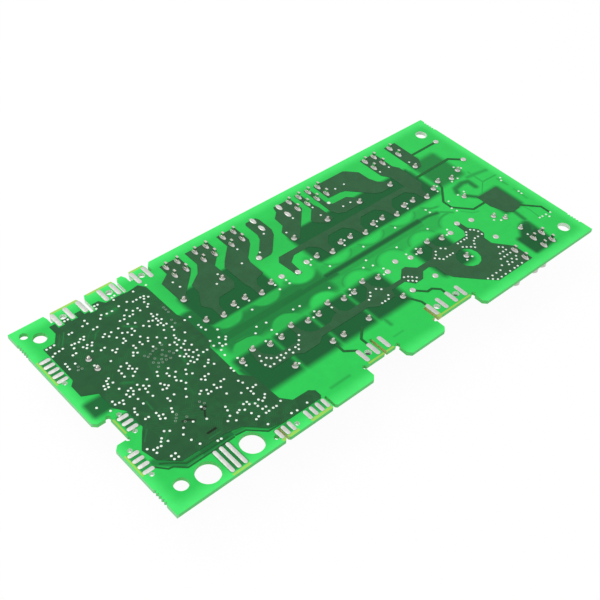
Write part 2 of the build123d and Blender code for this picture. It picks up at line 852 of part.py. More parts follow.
# %% Parts on the component side
leg_top = board_top + pin_rise
with BuildPart() as film_capacitor:
    with BuildSketch(level(seat)) as box:
        with Locations(film_capacitor_at):
            Rectangle(film_capacitor_size[0], film_capacitor_size[1])
        chamfer(box.vertices(), 0.6)
    extrude(amount=-film_capacitor_size[2])
    with BuildSketch(level(seat)):
        pin_holes(two_legs(film_capacitor_at, film_capacitor_pitch), wire, wire)
    extrude(amount=leg_top - seat)
save(film_capacitor, "film_capacitor")

varistor_gap = 0.8  # from its rim to the board
varistor_z = seat - varistor_gap - varistor_diameter / 2
varistor_foot = (varistor_at[0] - board_length / 2, varistor_at[1] - board_width / 2, varistor_z)
with BuildPart() as varistor:
    with BuildSketch(Plane(origin=varistor_foot, x_dir=(0, 1, 0), z_dir=(1, 0, 0))):
        Circle(varistor_diameter / 2)
    extrude(amount=varistor_thickness / 2, both=True)
    with BuildSketch(level(varistor_z)):
        pin_holes(two_legs(varistor_at, varistor_pitch), wire, wire)
    extrude(amount=leg_top - varistor_z)
save(varistor, "varistor")

with BuildPart() as can_capacitor:
    with BuildSketch(level(seat)):
        with Locations(can_capacitor_at):
            Circle(can_capacitor_diameter / 2)
    extrude(amount=-can_capacitor_height)
    chamfer(can_capacitor.edges().group_by(Axis.Z)[0], 0.6)
    with BuildSketch(level(seat)):
        pin_holes(two_legs(can_capacitor_at, can_capacitor_pitch), wire, wire)
    extrude(amount=leg_top - seat)
save(can_capacitor, "can_capacitor")


def chip_package(at, size, thickness, lead_rows, name):
    """A flat package with straight leads that reach out over the board."""
    with BuildPart() as package:
        with BuildSketch(level(seat)) as body:
            with Locations(at):
                Rectangle(*size)
            chamfer(body.vertices(), 0.3)
        extrude(amount=-thickness)
        with BuildSketch(level(seat)):
            for place, length, width in lead_rows:
                with Locations(place):
                    Rectangle(length, width)
        extrude(amount=-lead_thickness)
    save(package, name)


def lead_row(at, half_body, pitch, count, upright):
    """The leads along two facing sides of a package: middle, length along X and along Y."""
    rows = []
    for side in (-1, 1):
        for i in range(count):
            along = (i - (count - 1) / 2) * pitch
            out = side * (half_body + lead_reach / 2)
            place = (at[0] + along, at[1] + out) if upright else (at[0] + out, at[1] + along)
            shape = (lead_width, lead_reach) if upright else (lead_reach, lead_width)
            rows.append((place, *shape))
    return rows


controller_pitch = 1.0
controller_rows = lead_row(controller_at, controller_size / 2, controller_pitch, controller_leads, True)
controller_rows += lead_row(controller_at, controller_size / 2, controller_pitch, controller_leads, False)
chip_package(
    controller_at,
    (controller_size, controller_size),
    controller_thickness,
    controller_rows,
    "microcontroller",
)
for number, at in enumerate(driver_at, 1):
    rows = lead_row(at, driver_size[0] / 2, driver_pitch, driver_leads, False)
    chip_package(at, driver_size, driver_thickness, rows, f"relay_driver_{number}")

# Small chips in rows: first place, step and count.
chip_size = (1.6, 0.8)
chip_height = 0.5
resistor_rows = [
    ((7.4, side_row_y + 4 * fine_pitch), (0, -fine_pitch), 5),
    ((14.6, 38.3), (0, -fine_pitch), 3),
    ((9.2, 25.0), (0, -fine_pitch), 4),
    ((41.4, 8.6), (fine_pitch, 0), 3),
]
capacitor_rows = [
    ((24.6, 62.0), (3.2, 0), 4),
    ((24.6, 41.0), (3.2, 0), 4),
]


def chips(rows, name):
    """One node of small chips."""
    with BuildPart() as chip_set:
        with BuildSketch(level(seat)):
            for first, step, count in rows:
                with Locations(*finger_places(first, step, count)):
                    Rectangle(*chip_size)
        extrude(amount=-chip_height)
    save(chip_set, name)


chips(resistor_rows, "chip_resistors")
chips(capacitor_rows, "chip_capacitors")
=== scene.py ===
# %% [markdown]
# # A relay control board, solder side up
# This lesson dresses a flat control board that carries twelve relays underneath. The solids come
# ready from the frame: the milled board, its copper, contacts, relays and tabs. What is made here
# is how it looks: green lacquer with the dark copper under it, the shade of hidden parts that
# glows through the thin laminate, bright solder, and hundreds of small plated holes.

# %% Load the frame
import math
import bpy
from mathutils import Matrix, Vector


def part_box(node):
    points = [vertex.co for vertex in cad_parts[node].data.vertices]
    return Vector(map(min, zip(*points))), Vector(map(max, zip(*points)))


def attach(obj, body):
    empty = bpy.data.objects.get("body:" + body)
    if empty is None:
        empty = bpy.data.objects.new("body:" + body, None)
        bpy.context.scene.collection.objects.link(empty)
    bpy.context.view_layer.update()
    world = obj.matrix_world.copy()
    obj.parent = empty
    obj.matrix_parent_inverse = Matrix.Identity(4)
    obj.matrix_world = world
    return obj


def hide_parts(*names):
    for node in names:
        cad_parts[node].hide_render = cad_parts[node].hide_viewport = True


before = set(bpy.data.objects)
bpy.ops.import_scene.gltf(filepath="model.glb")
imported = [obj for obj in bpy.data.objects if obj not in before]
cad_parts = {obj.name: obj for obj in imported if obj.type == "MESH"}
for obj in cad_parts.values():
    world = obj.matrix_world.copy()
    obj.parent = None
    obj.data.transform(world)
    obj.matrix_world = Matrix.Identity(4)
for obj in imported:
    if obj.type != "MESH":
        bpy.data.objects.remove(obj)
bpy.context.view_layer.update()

import bmesh
import bpy
from mathutils import Matrix, Quaternion, Vector

scene = bpy.context.scene
scene.view_settings.view_transform = "Standard"
bpy.ops.object.select_all(action="DESELECT")
print("nodes in the frame:", len(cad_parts))

# %% [markdown]
# ## Sizes that everything is placed by
# The board's own box gives its near left corner and the height of its upper face. Places on the
# board are then written in millimetres from that corner, as on a drawing. Copper and lacquer are
# printed with a small offset from the milled outline, because the two are never in perfect
# register, so one value holds that offset.

# %% Board corner and heights
mm = 0.001
board_low, board_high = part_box("circuit_board")
lacquer_top = board_high.z
copper_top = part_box("copper_control_plane")[1].z
print_shift = Vector((0.0, 0.1, 0))  # mm, from the milled outline to the printed artwork
print_corner = Vector((board_low.x, board_low.y, 0)) + print_shift * mm


def on_board(x, y, z=0.0):
    """A place on the artwork in mm as a point of the frame in metres."""
    return Vector((print_corner.x + x * mm, print_corner.y + y * mm, z))


print("board in mm:", [round(v / mm, 1) for v in board_high - board_low])

# %% [markdown]
# ## Camera
# The board is seen from its near left corner, looking down at about 45 degrees with a slight
# roll. A lens of about 62 mm keeps the long far edge from shrinking too much.

# %% Camera
camera_data = bpy.data.cameras.new("camera")
camera_data.sensor_width = 36.0
camera_data.lens = 61.56
camera_data.clip_start = 0.01
camera = bpy.data.objects.new("camera", camera_data)
scene.collection.objects.link(camera)
camera.location = (-0.19588, -0.17664, 0.26612)
look = Vector((0.51403, 0.49079, -0.70349))
roll = math.radians(5.364)
camera.rotation_mode = "QUATERNION"
camera.rotation_quaternion = look.to_track_quat("-Z", "Y") @ Quaternion((0, 0, 1), roll)
scene.camera = camera

# %% [markdown]
# ## Helpers for building node trees
# Every material is a small tree of nodes. Writing each node and link by hand takes many lines, so
# one helper adds a node and fills its inputs with values or with links. A second one builds
# groups, which hold an effect that more than one material uses.


# %% Node helpers
def add_node(tree, kind, inputs=None, **settings):
    """Adds a node. inputs maps a socket's name or number to a value or to another socket."""
    node = tree.nodes.new(kind)
    for name, value in settings.items():
        setattr(node, name, value)
    for key, value in (inputs or {}).items():
        socket = node.inputs[key]
        if isinstance(value, bpy.types.NodeSocket):
            tree.links.new(value, socket)
        else:
            socket.default_value = value
    return node


def calc(tree, operation, *values, clamp=False):
    """A Math node's result."""
    node = add_node(tree, "ShaderNodeMath", dict(enumerate(values)), operation=operation)
    node.use_clamp = clamp
    return node.outputs[0]


def vector_calc(tree, operation, *values):
    """A Vector Math node's vector result."""
    node = add_node(tree, "ShaderNodeVectorMath", dict(enumerate(values)), operation=operation)
    return node.outputs["Vector"]


def measure(tree, operation, *values):
    """A Vector Math node's single value, such as a length or a dot product."""
    node = add_node(tree, "ShaderNodeVectorMath", dict(enumerate(values)), operation=operation)
    return node.outputs["Value"]


def ramp(tree, value, start, end, low=0.0, high=1.0):
    """low below start, high above end, and a smooth step between them."""
    limits = {"Value": value, "From Min": start, "From Max": end, "To Min": low, "To Max": high}
    return add_node(tree, "ShaderNodeMapRange", limits, interpolation_type="SMOOTHSTEP").outputs[0]


def mix(tree, factor, first, second):
    """first where factor is 0, and second where it is 1."""
    node = add_node(tree, "ShaderNodeMix", {0: factor, 6: first, 7: second}, data_type="RGBA")
    return node.outputs[2]


def strongest(tree, masks):
    """The largest of several masks at each place."""
    result = masks[0]
    for mask in masks[1:]:
        result = calc(tree, "MAXIMUM", result, mask)
    return result


def new_group(name, vectors, values, result):
    """A node group with these inputs and one value as its result. Gives it, its inputs and its end."""
    group = bpy.data.node_groups.new(name, "ShaderNodeTree")
    for label in vectors:
        group.interface.new_socket(label, in_out="INPUT", socket_type="NodeSocketVector")
    for label in values:
        group.interface.new_socket(label, in_out="INPUT", socket_type="NodeSocketFloat")
    group.interface.new_socket(result, in_out="OUTPUT", socket_type="NodeSocketFloat")
    entry = group.nodes.new("NodeGroupInput").outputs
    return group, entry, group.nodes.new("NodeGroupOutput").inputs[0]


def use_group(tree, group, inputs):
    """Places a group in a tree and gives its single result."""
    return add_node(tree, "ShaderNodeGroup", inputs, node_tree=group).outputs[0]


def paint(red, green, blue):
    """A colour of 0 to 255 screen values, as the linear colour that a shader takes."""
    screen = [value / 255 for value in (red, green, blue)]
    linear = [v / 12.92 if v <= 0.04045 else ((v + 0.055) / 1.055) ** 2.4 for v in screen]
    return (*linear, 1.0)


def scaled(colour, share):
    """A colour times a share, with its alpha kept."""
    return (*(value * share for value in colour[:3]), 1.0)


def new_material(name):
    """A material with one Principled shader."""
    material = bpy.data.materials.new(name)
    material.use_nodes = True
    tree = material.node_tree
    return material, tree, tree.nodes["Principled BSDF"]


def height_above_floor(tree):
    """The height of each place in metres."""
    coordinates = add_node(tree, "ShaderNodeTexCoord").outputs["Object"]
    return add_node(tree, "ShaderNodeSeparateXYZ", {0: coordinates}).outputs["Z"]


def artwork_place(tree):
    """The flat place on the board's artwork in mm, read from Object coordinates."""
    coordinates = add_node(tree, "ShaderNodeTexCoord").outputs["Object"]
    moved = vector_calc(tree, "SUBTRACT", coordinates, tuple(print_corner))
    return vector_calc(tree, "MULTIPLY", moved, (1000, 1000, 0))


# %% [markdown]
# ## Light and floor
# A product is shot on a pale sweep under soft boxes. A sky of even light does most of the work,
# because a colour then renders nearly as it is written, and one large lamp adds a little
# direction. The floor looks white to the camera and keeps a faint shadow of the board.


# %% World, lamp and floor
def seen_directly(tree):
    """1 for rays from the camera, and for those that mirrors and glass send on, otherwise 0."""
    ray = add_node(tree, "ShaderNodeLightPath").outputs
    seen = calc(tree, "MAXIMUM", ray["Is Camera Ray"], ray["Is Glossy Ray"])
    return calc(tree, "MAXIMUM", seen, ray["Is Transmission Ray"])


world = bpy.data.worlds.new("studio")
scene.world = world
world.use_nodes = True
sky_tree = world.node_tree
sky_strength = 0.80
background = sky_tree.nodes["Background"]
background.inputs["Color"].default_value = (1, 1, 1, 1)
strength = calc(sky_tree, "MULTIPLY_ADD", seen_directly(sky_tree), 1.0 - sky_strength, sky_strength)
sky_tree.links.new(strength, background.inputs["Strength"])

lamp_data = bpy.data.lights.new("soft_box", "AREA")
lamp_data.energy = 3.2
lamp_data.size = 0.6
lamp = bpy.data.objects.new("soft_box", lamp_data)
scene.collection.objects.link(lamp)
lamp.location = (-0.25, 0.35, 0.75)
lamp.rotation_mode = "QUATERNION"
lamp.rotation_quaternion = (-lamp.location).to_track_quat("-Z", "Y")

# the floor lies a hair below the relays' flat tops, so that the faces don't share one plane
floor_drop = 0.05 * mm
bpy.ops.mesh.primitive_plane_add(size=8, location=(0, 0, -floor_drop))
floor = bpy.context.object
floor.name = "floor"
material, tree, shader = new_material("white_sweep")
shader.inputs["Base Color"].default_value = (0.93, 0.93, 0.93, 1)
shader.inputs["Roughness"].default_value = 0.9
shader.inputs["Specular IOR Level"].default_value = 0.1
glow = add_node(tree, "ShaderNodeEmission", {"Color": (1, 1, 1, 1), "Strength": 1.0})
most_white = 0.955
white_share = calc(tree, "MULTIPLY", seen_directly(tree), most_white)
blend = add_node(tree, "ShaderNodeMixShader", {0: white_share})
tree.links.new(shader.outputs[0], blend.inputs[1])
tree.links.new(glow.outputs[0], blend.inputs[2])
tree.links.new(blend.outputs[0], tree.nodes["Material Output"].inputs["Surface"])
floor.data.materials.append(material)

# %% [markdown]
# ## Soft shapes for what glows through the laminate
# The laminate is only 1.6 mm of resin and glass, so light passes through it. A relay or a broad
# track on the far side shows as a dark field with blurred edges. Real light transport would be
# slow and noisy. Two small groups draw such fields instead: a soft box, and a soft stroke from
# one point to another. Both measure the distance to the shape's edge and blur it.


# %% Soft box and soft stroke
def build_soft_box():
    """A mask of a box with blurred, rounded edges."""
    group, entry, end = new_group(
        "soft_box", ["Place", "Middle", "Half size"], ["Blur", "Darkness"], "Mask"
    )
    offset = vector_calc(group, "SUBTRACT", entry["Place"], entry["Middle"])
    offset = vector_calc(group, "ABSOLUTE", offset)
    outside = vector_calc(group, "SUBTRACT", offset, entry["Half size"])
    beyond = measure(group, "LENGTH", vector_calc(group, "MAXIMUM", outside, (0, 0, 0)))
    end_of_blur = calc(group, "MULTIPLY", entry["Blur"], 2.0)
    mask = ramp(group, beyond, 0.0, end_of_blur, entry["Darkness"], 0.0)
    group.links.new(mask, end)
    return group


def build_soft_stroke():
    """A mask of a straight stroke with round ends and blurred edges."""
    group, entry, end = new_group(
        "soft_stroke", ["Place", "From", "To"], ["Half width", "Blur", "Darkness"], "Mask"
    )
    along = vector_calc(group, "SUBTRACT", entry["To"], entry["From"])
    offset = vector_calc(group, "SUBTRACT", entry["Place"], entry["From"])
    reach = measure(group, "DOT_PRODUCT", offset, along)
    full = measure(group, "DOT_PRODUCT", along, along)
    share = calc(group, "DIVIDE", reach, full, clamp=True)
    walked = add_node(group, "ShaderNodeVectorMath", {0: along, "Scale": share}, operation="SCALE")
    nearest = vector_calc(group, "SUBTRACT", offset, walked.outputs["Vector"])
    distance = measure(group, "LENGTH", nearest)
    distance = calc(group, "SUBTRACT", distance, entry["Half width"])
    start = calc(group, "MULTIPLY", entry["Blur"], -1.0)
    mask = ramp(group, distance, start, entry["Blur"], entry["Darkness"], 0.0)
    group.links.new(mask, end)
    return group


soft_box = build_soft_box()
soft_stroke = build_soft_stroke()


def box_mask(tree, place, middle, half, blur, darkness=1.0):
    """A soft box given in mm on the artwork."""
    core = (half[0] - blur, half[1] - blur, 0)
    values = {"Place": place, "Middle": (*middle, 0), "Half size": core}
    values.update({"Blur": blur, "Darkness": darkness})
    return use_group(tree, soft_box, values)


def add_boxes(tree, place, total, boxes):
    """Joins soft boxes to a total.

    Each mask joins the total at once, because a shader can hold only a few dozen open values.
    """
    for box in boxes:
        total = calc(tree, "MAXIMUM", total, box_mask(tree, place, *box))
    return total


def add_tracks(tree, place, total, tracks):
    """Joins soft tracks to a total. Each is its points in mm, half width, blur and darkness."""
    for points, half_width, blur, darkness in tracks:
        strokes = []
        for start, finish in zip(points, points[1:]):
            values = {"Place": place, "From": (*start, 0), "To": (*finish, 0)}
            values.update({"Half width": half_width, "Blur": blur, "Darkness": darkness})
            strokes.append(use_group(tree, soft_stroke, values))
        total = calc(tree, "MAXIMUM", total, strongest(tree, strokes))
    return total


# %% [markdown]
# ## What hides under the board
# All of these fields are painted shade. The relays are the largest dark fields, and their boxes
# come from the frame. Between the two rows runs a broad band of coil tracks. It sends an arm up or
# down to each relay, so bright lobes of bare laminate stay between the arms, and thin tracks follow
# the lobes' edges. Smaller fields and strokes stand for blocks and single tracks, each with its own
# blur and darkness, and the last two fields stand for no part: they are broad, weak painted shade
# where less light comes through. All of them are in mm on the artwork.

# %% Places of hidden fields and tracks
relay_nodes = [f"relay_{number:02d}" for number in range(1, 13)]
relay_pitch = 17.0
row_gap_y = 50.0  # between the far and the near row
end_relay_x = 170.0  # only the single relay at the right end lies past this
slant = (-0.5, -0.5)  # how far shade is moved, as light falls in at a slant
far_spread = -0.3  # how far the far row's shade passes the sides of its cases
near_spread = 0.75
end_inset = 0.5  # how far the shade stops short of the ends of a case
relay_blur = 1.7
end_relay_darkness = 0.76
lobe_middles = [(60.3, 50.8), (57.7, 36.2)]  # the first lobe of the far and of the near row
lobe_half = (5.6, 4.0)
lobe_fade = (0.76, 1.2)  # where a lobe starts to fade and where it ends, as shares of its half size
arc_width = 0.26  # of the thin track along a lobe's edge, as a share too
arc_darkness = 0.5
arm_boxes = [((76.0, 43.6), (25.0, 7.0), 2.6, 0.8), ((122.0, 43.4), (36.0, 7.0), 1.6, 0.34)]
arc_reach = ((110.0, 43.4), (52.0, 7.0), 1.4)
hidden_fields = [
    # middle and half size in mm, then blur and darkness
    ((69.0, 60.5), (15.4, 9.7), 1.1, 1.0),
    ((136.4, 60.5), (32.4, 9.7), 1.1, 1.0),
    ((72.0, 44.2), (19.0, 2.8), 1.7, 0.88),
    ((92.0, 43.8), (14.0, 2.0), 1.5, 0.9),
    ((125.0, 44.6), (25.5, 1.5), 1.2, 1.0),
    ((121.0, 42.4), (29.0, 1.8), 1.4, 0.5),
    ((52.0, 45.6), (4.0, 4.4), 1.5, 0.88),
    ((51.6, 53.6), (3.2, 8.2), 1.3, 0.92),
    ((50.4, 27.0), (2.4, 4.2), 1.3, 0.9),
    ((101.4, 52.6), (1.8, 4.4), 1.5, 0.3),
    ((87.4, 48.6), (1.6, 3.4), 1.3, 0.55),
    ((5.8, 46.4), (4.1, 3.6), 1.3, 0.95),
    ((24.8, 13.0), (6.4, 1.9), 0.8, 0.92),
    ((24.5, 6.2), (3.4, 5.0), 0.5, 0.8),
    ((9.4, 35.9), (2.4, 3.5), 0.5, 0.85),
    ((3.0, 21.4), (1.9, 4.4), 0.4, 0.62),
    ((3.0, 67.2), (1.9, 5.9), 0.4, 0.78),
    ((43.8, 3.2), (3.2, 1.9), 0.5, 0.62),
    ((56.9, 3.2), (4.2, 1.9), 0.5, 0.55),
    ((176.5, 9.6), (6.0, 5.2), 1.1, 1.0),
    ((184.6, 33.2), (5.6, 7.2), 1.3, 0.9),
    # painted shade that stands for no part: less light comes through the laminate here
    ((68.0, 43.0), (18.0, 9.0), 3.0, 0.3),
    ((96.0, 71.5), (46.0, 9.0), 3.0, 0.17),
]
hidden_tracks = [
    # points in mm, then half width, blur and darkness
    ([(54.4, 40.3), (60.0, 40.0), (65.0, 38.1), (69.4, 40.9), (76.3, 40.9), (79.4, 38.8), (83.0, 38.6)],
     0.4, 0.5, 0.9),
    ([(148.0, 44.6), (154.0, 44.5), (158.4, 43.5)], 1.0, 1.0, 0.92),
    ([(156.0, 44.4), (160.0, 43.0), (163.5, 40.0)], 0.4, 0.7, 0.6),
    ([(174.0, 46.9), (175.4, 49.0), (180.0, 49.8), (182.9, 49.0), (182.8, 45.0)], 1.2, 1.0, 0.8),
    ([(184.6, 50.9), (190.0, 50.2), (194.4, 49.4)], 0.8, 0.9, 0.5),
    ([(187.6, 53.0), (187.5, 45.2), (195.0, 44.9)], 0.3, 0.5, 0.5),
    ([(187.5, 45.2), (181.7, 40.6)], 0.1, 0.3, 0.8),
    ([(175.2, 43.8), (180.0, 38.4)], 0.9, 0.9, 0.9),
    ([(183.2, 27.0), (182.6, 20.0)], 0.9, 1.0, 0.8),
    ([(173.9, 11.4), (179.4, 16.6)], 2.9, 1.3, 1.0),
    ([(180.9, 17.6), (180.4, 10.0)], 2.2, 1.2, 0.9),
    ([(193.7, 42.6), (194.0, 38.0)], 0.4, 0.7, 0.45),
    ([(193.9, 34.4), (193.6, 27.6)], 0.3, 0.7, 0.4),
    ([(188.0, 26.4), (188.8, 22.6), (188.3, 17.2)], 0.2, 0.5, 0.45),
    ([(166.6, 38.4), (169.6, 35.0), (172.0, 34.2)], 0.2, 0.5, 0.4),
    ([(101.8, 17.6), (101.7, 13.6)], 0.6, 0.9, 0.6),
    ([(98.4, 9.0), (102.8, 9.0)], 0.2, 0.6, 0.4),
    ([(66.4, 6.2), (74.6, 6.2)], 0.4, 0.7, 0.42),
    ([(6.0, 18.6), (12.6, 12.6), (20.0, 12.7)], 1.4, 0.8, 0.78),
    ([(30.0, 12.2), (35.4, 11.8), (40.6, 6.9), (46.0, 6.0)], 1.0, 0.8, 0.75),
    ([(178.0, 72.4), (177.4, 62.0)], 0.5, 1.2, 0.5),
]


# %% Shade of hidden parts
def artwork_box(node):
    """A CAD node's middle and half size in mm on the artwork."""
    low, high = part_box(node)
    middle = (low + high) / 2 - print_corner
    half = (high - low) / 2
    return (middle.x / mm, middle.y / mm), (half.x / mm, half.y / mm)


def relay_field(node):
    """A relay's footprint as a soft field. The near row's shade spreads a little to the sides."""
    (x, y), (half_x, half_y) = artwork_box(node)
    half = (half_x + (far_spread if y > row_gap_y else near_spread), half_y - end_inset)
    darkness = end_relay_darkness if x > end_relay_x else 1.0
    return (x + slant[0], y + slant[1]), half, relay_blur, darkness


def build_hidden_shade():
    """How dark each place is from parts and copper on the far side of the laminate."""
    group, entry, end = new_group("hidden_shade", ["Place"], [], "Shade")
    place = entry["Place"]
    relay_fields = [relay_field(node) for node in relay_nodes]
    shade = add_boxes(group, place, 0.0, relay_fields + hidden_fields)
    shade = add_tracks(group, place, shade, hidden_tracks)

    lobes = []
    edges = []
    fade_start, fade_end = lobe_fade
    for first_x, y in lobe_middles:
        # one lobe, repeated along the row by folding X into one pitch
        parts = add_node(group, "ShaderNodeSeparateXYZ", {0: place})
        start = first_x - relay_pitch / 2
        folded = calc(group, "WRAP", parts.outputs["X"], start + relay_pitch, start)
        wrapped = add_node(group, "ShaderNodeCombineXYZ", {0: folded, 1: parts.outputs["Y"]})
        offset = vector_calc(group, "SUBTRACT", wrapped.outputs[0], (first_x, y, 0))
        scale = (1 / lobe_half[0], 1 / lobe_half[1], 0)
        radius = measure(group, "LENGTH", vector_calc(group, "MULTIPLY", offset, scale))
        lobes.append(ramp(group, radius, fade_start, fade_end, 1.0, 0.0))
        edge = calc(group, "ABSOLUTE", calc(group, "SUBTRACT", radius, fade_end))
        edges.append(ramp(group, edge, 0.0, arc_width, arc_darkness, 0.0))
    between_lobes = calc(group, "SUBTRACT", 1.0, strongest(group, lobes))
    arms = strongest(group, [box_mask(group, place, *box) for box in arm_boxes])
    arms = calc(group, "MULTIPLY", arms, between_lobes)
    arcs = calc(group, "MULTIPLY", strongest(group, edges), box_mask(group, place, *arc_reach))
    group.links.new(strongest(group, [shade, arms, arcs]), end)
    return group


hidden_shade = build_hidden_shade()
print("nodes in the shade group:", len(hidden_shade.nodes))

# %% [markdown]
# ## Lacquered laminate
# The lacquer is a clear, glossy green. Light in it is painted: over bare laminate it is painted
# bright, as if lit from below through the board, over hidden parts it takes their painted shade,
# and at the milled rim, where light leaves the edge, it is painted a little paler. The sides of the
# board aren't lacquered: there the pale glass and resin shows in fine layers. The walls of narrow
# holes and slots are painted near white instead, as painted light. Contact tongues are left free
# of lacquer as well, so a strip of yellow laminate frames their fingers.


# %% Lacquer grain group
def build_surface_grain():
    """Two sizes of noise for the slow waves and the fine grain of a coated surface."""
    group, entry, end = new_group("surface_grain", [], ["Scale", "Fine share"], "Value")
    coordinates = add_node(group, "ShaderNodeTexCoord").outputs["Object"]
    fine_scale = calc(group, "MULTIPLY", entry["Scale"], 7.0)
    slow, fine = [
        add_node(group, "ShaderNodeTexNoise", {"Vector": coordinates, "Scale": scale}).outputs["Fac"]
        for scale in (entry["Scale"], fine_scale)
    ]
    difference = calc(group, "SUBTRACT", fine, slow)
    value = calc(group, "MULTIPLY_ADD", difference, entry["Fine share"], slow)
    group.links.new(value, end)
    return group


surface_grain = build_surface_grain()


def bump_from_grain(tree, scale, fine_share, height):
    """A Bump node's normal made from the grain group, and the grain itself."""
    grain = use_group(tree, surface_grain, {"Scale": scale, "Fine share": fine_share})
    settings = {"Height": grain, "Distance": height, "Strength": 0.5}
    return add_node(tree, "ShaderNodeBump", settings).outputs["Normal"], grain


def finish_lacquer(tree, shader, colour, normal):
    """The clear, soft gloss that all lacquered surfaces share."""
    tree.links.new(colour, shader.inputs["Base Color"])
    shader.inputs["Roughness"].default_value = 0.42
    shader.inputs["Specular IOR Level"].default_value = 0.08
    tree.links.new(normal, shader.inputs["Normal"])


def finish_grainy(tree, shader, colour, normal, grain, roughness, spread):
    """A surface whose roughness varies with its grain, by spread to each side."""
    tree.links.new(colour, shader.inputs["Base Color"])
    rough = ramp(tree, grain, 0.3, 0.7, roughness - spread, roughness + spread)
    tree.links.new(rough, shader.inputs["Roughness"])
    tree.links.new(normal, shader.inputs["Normal"])


# %% Laminate material
# painted light: bright_lacquer stands for light coming up through bare laminate, rim_lacquer for the
# paler light at the milled rim, and shaded_lacquer for the painted shade of hidden parts
bright_lacquer = paint(45, 197, 84)
shaded_lacquer = paint(24, 90, 47)
rim_lacquer = paint(74, 232, 112)
bare_laminate = paint(178, 200, 78)
outer_wall = paint(138, 206, 152)
near_wall = paint(88, 196, 110)
inner_wall = paint(92, 204, 108)
# painted light: near white for the walls of narrow holes and slots, which stay bright where shade would
# fall inside them
painted_light_wall = paint(232, 242, 232)
olive_wall = paint(196, 196, 122)
lacquer_grain_height = 0.03 * mm
rim_width = (2.4, 2.8)  # mm, of the paler band along the sides and along the long edges
rim_blur = 2.6
rim_strength = 0.85
strip_blur, strip_strength = 0.2, 0.7
wall_blur = 0.3
skin = (0.03 * mm, 0.06 * mm)  # how deep the lacquer reaches over an edge, from full to none
bare_strips = [
    # middle and half size in mm
    ((21.0, 89.1), (6.2, 0.5)),
    ((36.5, 89.1), (6.4, 0.5)),
    ((50.0, 89.1), (3.0, 0.5)),
    ((0.7, 67.2), (0.3, 6.0)),
    ((5.9, 35.9), (0.4, 3.4)),
    ((0.7, 21.3), (0.3, 4.6)),
    ((24.4, 0.4), (3.4, 0.4)),
    ((44.0, 0.5), (3.4, 0.5)),
    ((57.0, 0.5), (4.4, 0.5)),
    ((89.2, 5.9), (6.0, 0.35)),
    ((125.6, 5.9), (8.6, 0.35)),
    ((118.2, 9.0), (0.9, 3.4)),
]
olive_walls = [((116.4, 9.0), (2.6, 3.6)), ((42.9, 3.0), (1.2, 2.6)), ((90.9, 9.4), (1.2, 3.6))]
# painted light: the walls of these holes and slots are painted near white, so they look bright where
# shade would fall inside them
painted_light_walls = [
    # latch holes and the narrow slots beside them
    ((34.0, 86.0), (20.0, 3.4)),
    ((2.6, 60.6), (1.6, 1.4)),
    ((2.6, 27.0), (1.6, 1.4)),
    ((2.6, 15.6), (1.6, 1.4)),
    ((8.6, 40.4), (1.4, 1.2)),
    ((8.6, 31.4), (1.4, 1.2)),
    ((48.4, 2.4), (1.3, 1.2)),
    ((86.5, 9.4), (1.6, 1.6)),
    ((120.6, 9.2), (1.8, 1.8)),
    ((130.6, 9.2), (1.8, 1.8)),
    # the two mounting holes at the right
    ((191.6, 44.6), (2.6, 40.0)),
]

laminate_material, tree, shader = new_material("lacquered_laminate")
place = artwork_place(tree)
shade = use_group(tree, hidden_shade, {"Place": place})
board_middle, board_half = artwork_box("circuit_board")
core_half = (board_half[0] - rim_width[0], board_half[1] - rim_width[1])
core = box_mask(tree, place, board_middle, core_half, rim_blur)
lit_rim = calc(tree, "SUBTRACT", 1.0, core)
colour = mix(tree, calc(tree, "MULTIPLY", lit_rim, rim_strength), bright_lacquer, rim_lacquer)
colour = mix(tree, shade, colour, shaded_lacquer)
strips = [(*strip, strip_blur, strip_strength) for strip in bare_strips]
colour = mix(tree, add_boxes(tree, place, 0.0, strips), colour, bare_laminate)
normal, grain = bump_from_grain(tree, 260.0, 0.3, lacquer_grain_height)
tint = ramp(tree, grain, 0.3, 0.7, 0.0, 0.08)
colour = mix(tree, tint, colour, shaded_lacquer)
height = height_above_floor(tree)
below_top = ramp(tree, height, lacquer_top - skin[1], lacquer_top - skin[0], 1.0, 0.0)
above_bottom = ramp(tree, height, board_low.z + skin[0], board_low.z + skin[1])
side_wall = calc(tree, "MULTIPLY", below_top, above_bottom)
inside = box_mask(tree, place, board_middle, (board_half[0] - 0.4, board_half[1] - 0.4), 0.2)
wall_colour = mix(tree, inside, outer_wall, inner_wall)
near_side = box_mask(tree, place, (board_middle[0], 0.0), (board_half[0] - 0.6, 0.4), 0.2)
wall_colour = mix(tree, near_side, wall_colour, near_wall)
for walls, tone in ((painted_light_walls, painted_light_wall), (olive_walls, olive_wall)):
    mask = add_boxes(tree, place, 0.0, [(*wall, wall_blur) for wall in walls])
    wall_colour = mix(tree, mask, wall_colour, tone)
coordinates = add_node(tree, "ShaderNodeTexCoord").outputs["Object"]
layers = add_node(tree, "ShaderNodeTexWave", {"Vector": coordinates, "Scale": 1100.0, "Distortion": 2.0})
layers.bands_direction = "Z"
wall_colour = mix(tree, calc(tree, "MULTIPLY", layers.outputs["Fac"], 0.35), wall_colour, inner_wall)
finish_lacquer(tree, shader, mix(tree, side_wall, colour, wall_colour), normal)


def dress(material, *nodes):
    """Gives CAD nodes one material."""
    for node in nodes:
        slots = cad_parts[node].data.materials
        slots.clear()
        slots.append(material)


dress(laminate_material, "circuit_board")

# %% [markdown]
# ## Copper under the lacquer
# Copper is opaque, so lacquer over it is dark and dull whatever lies below. Broad areas are
# smooth. The control side is routed with fine tracks that run straight or at 45 degrees, with
# hairlines of laminate between them. They are drawn as bands whose direction changes from one
# patch to the next.


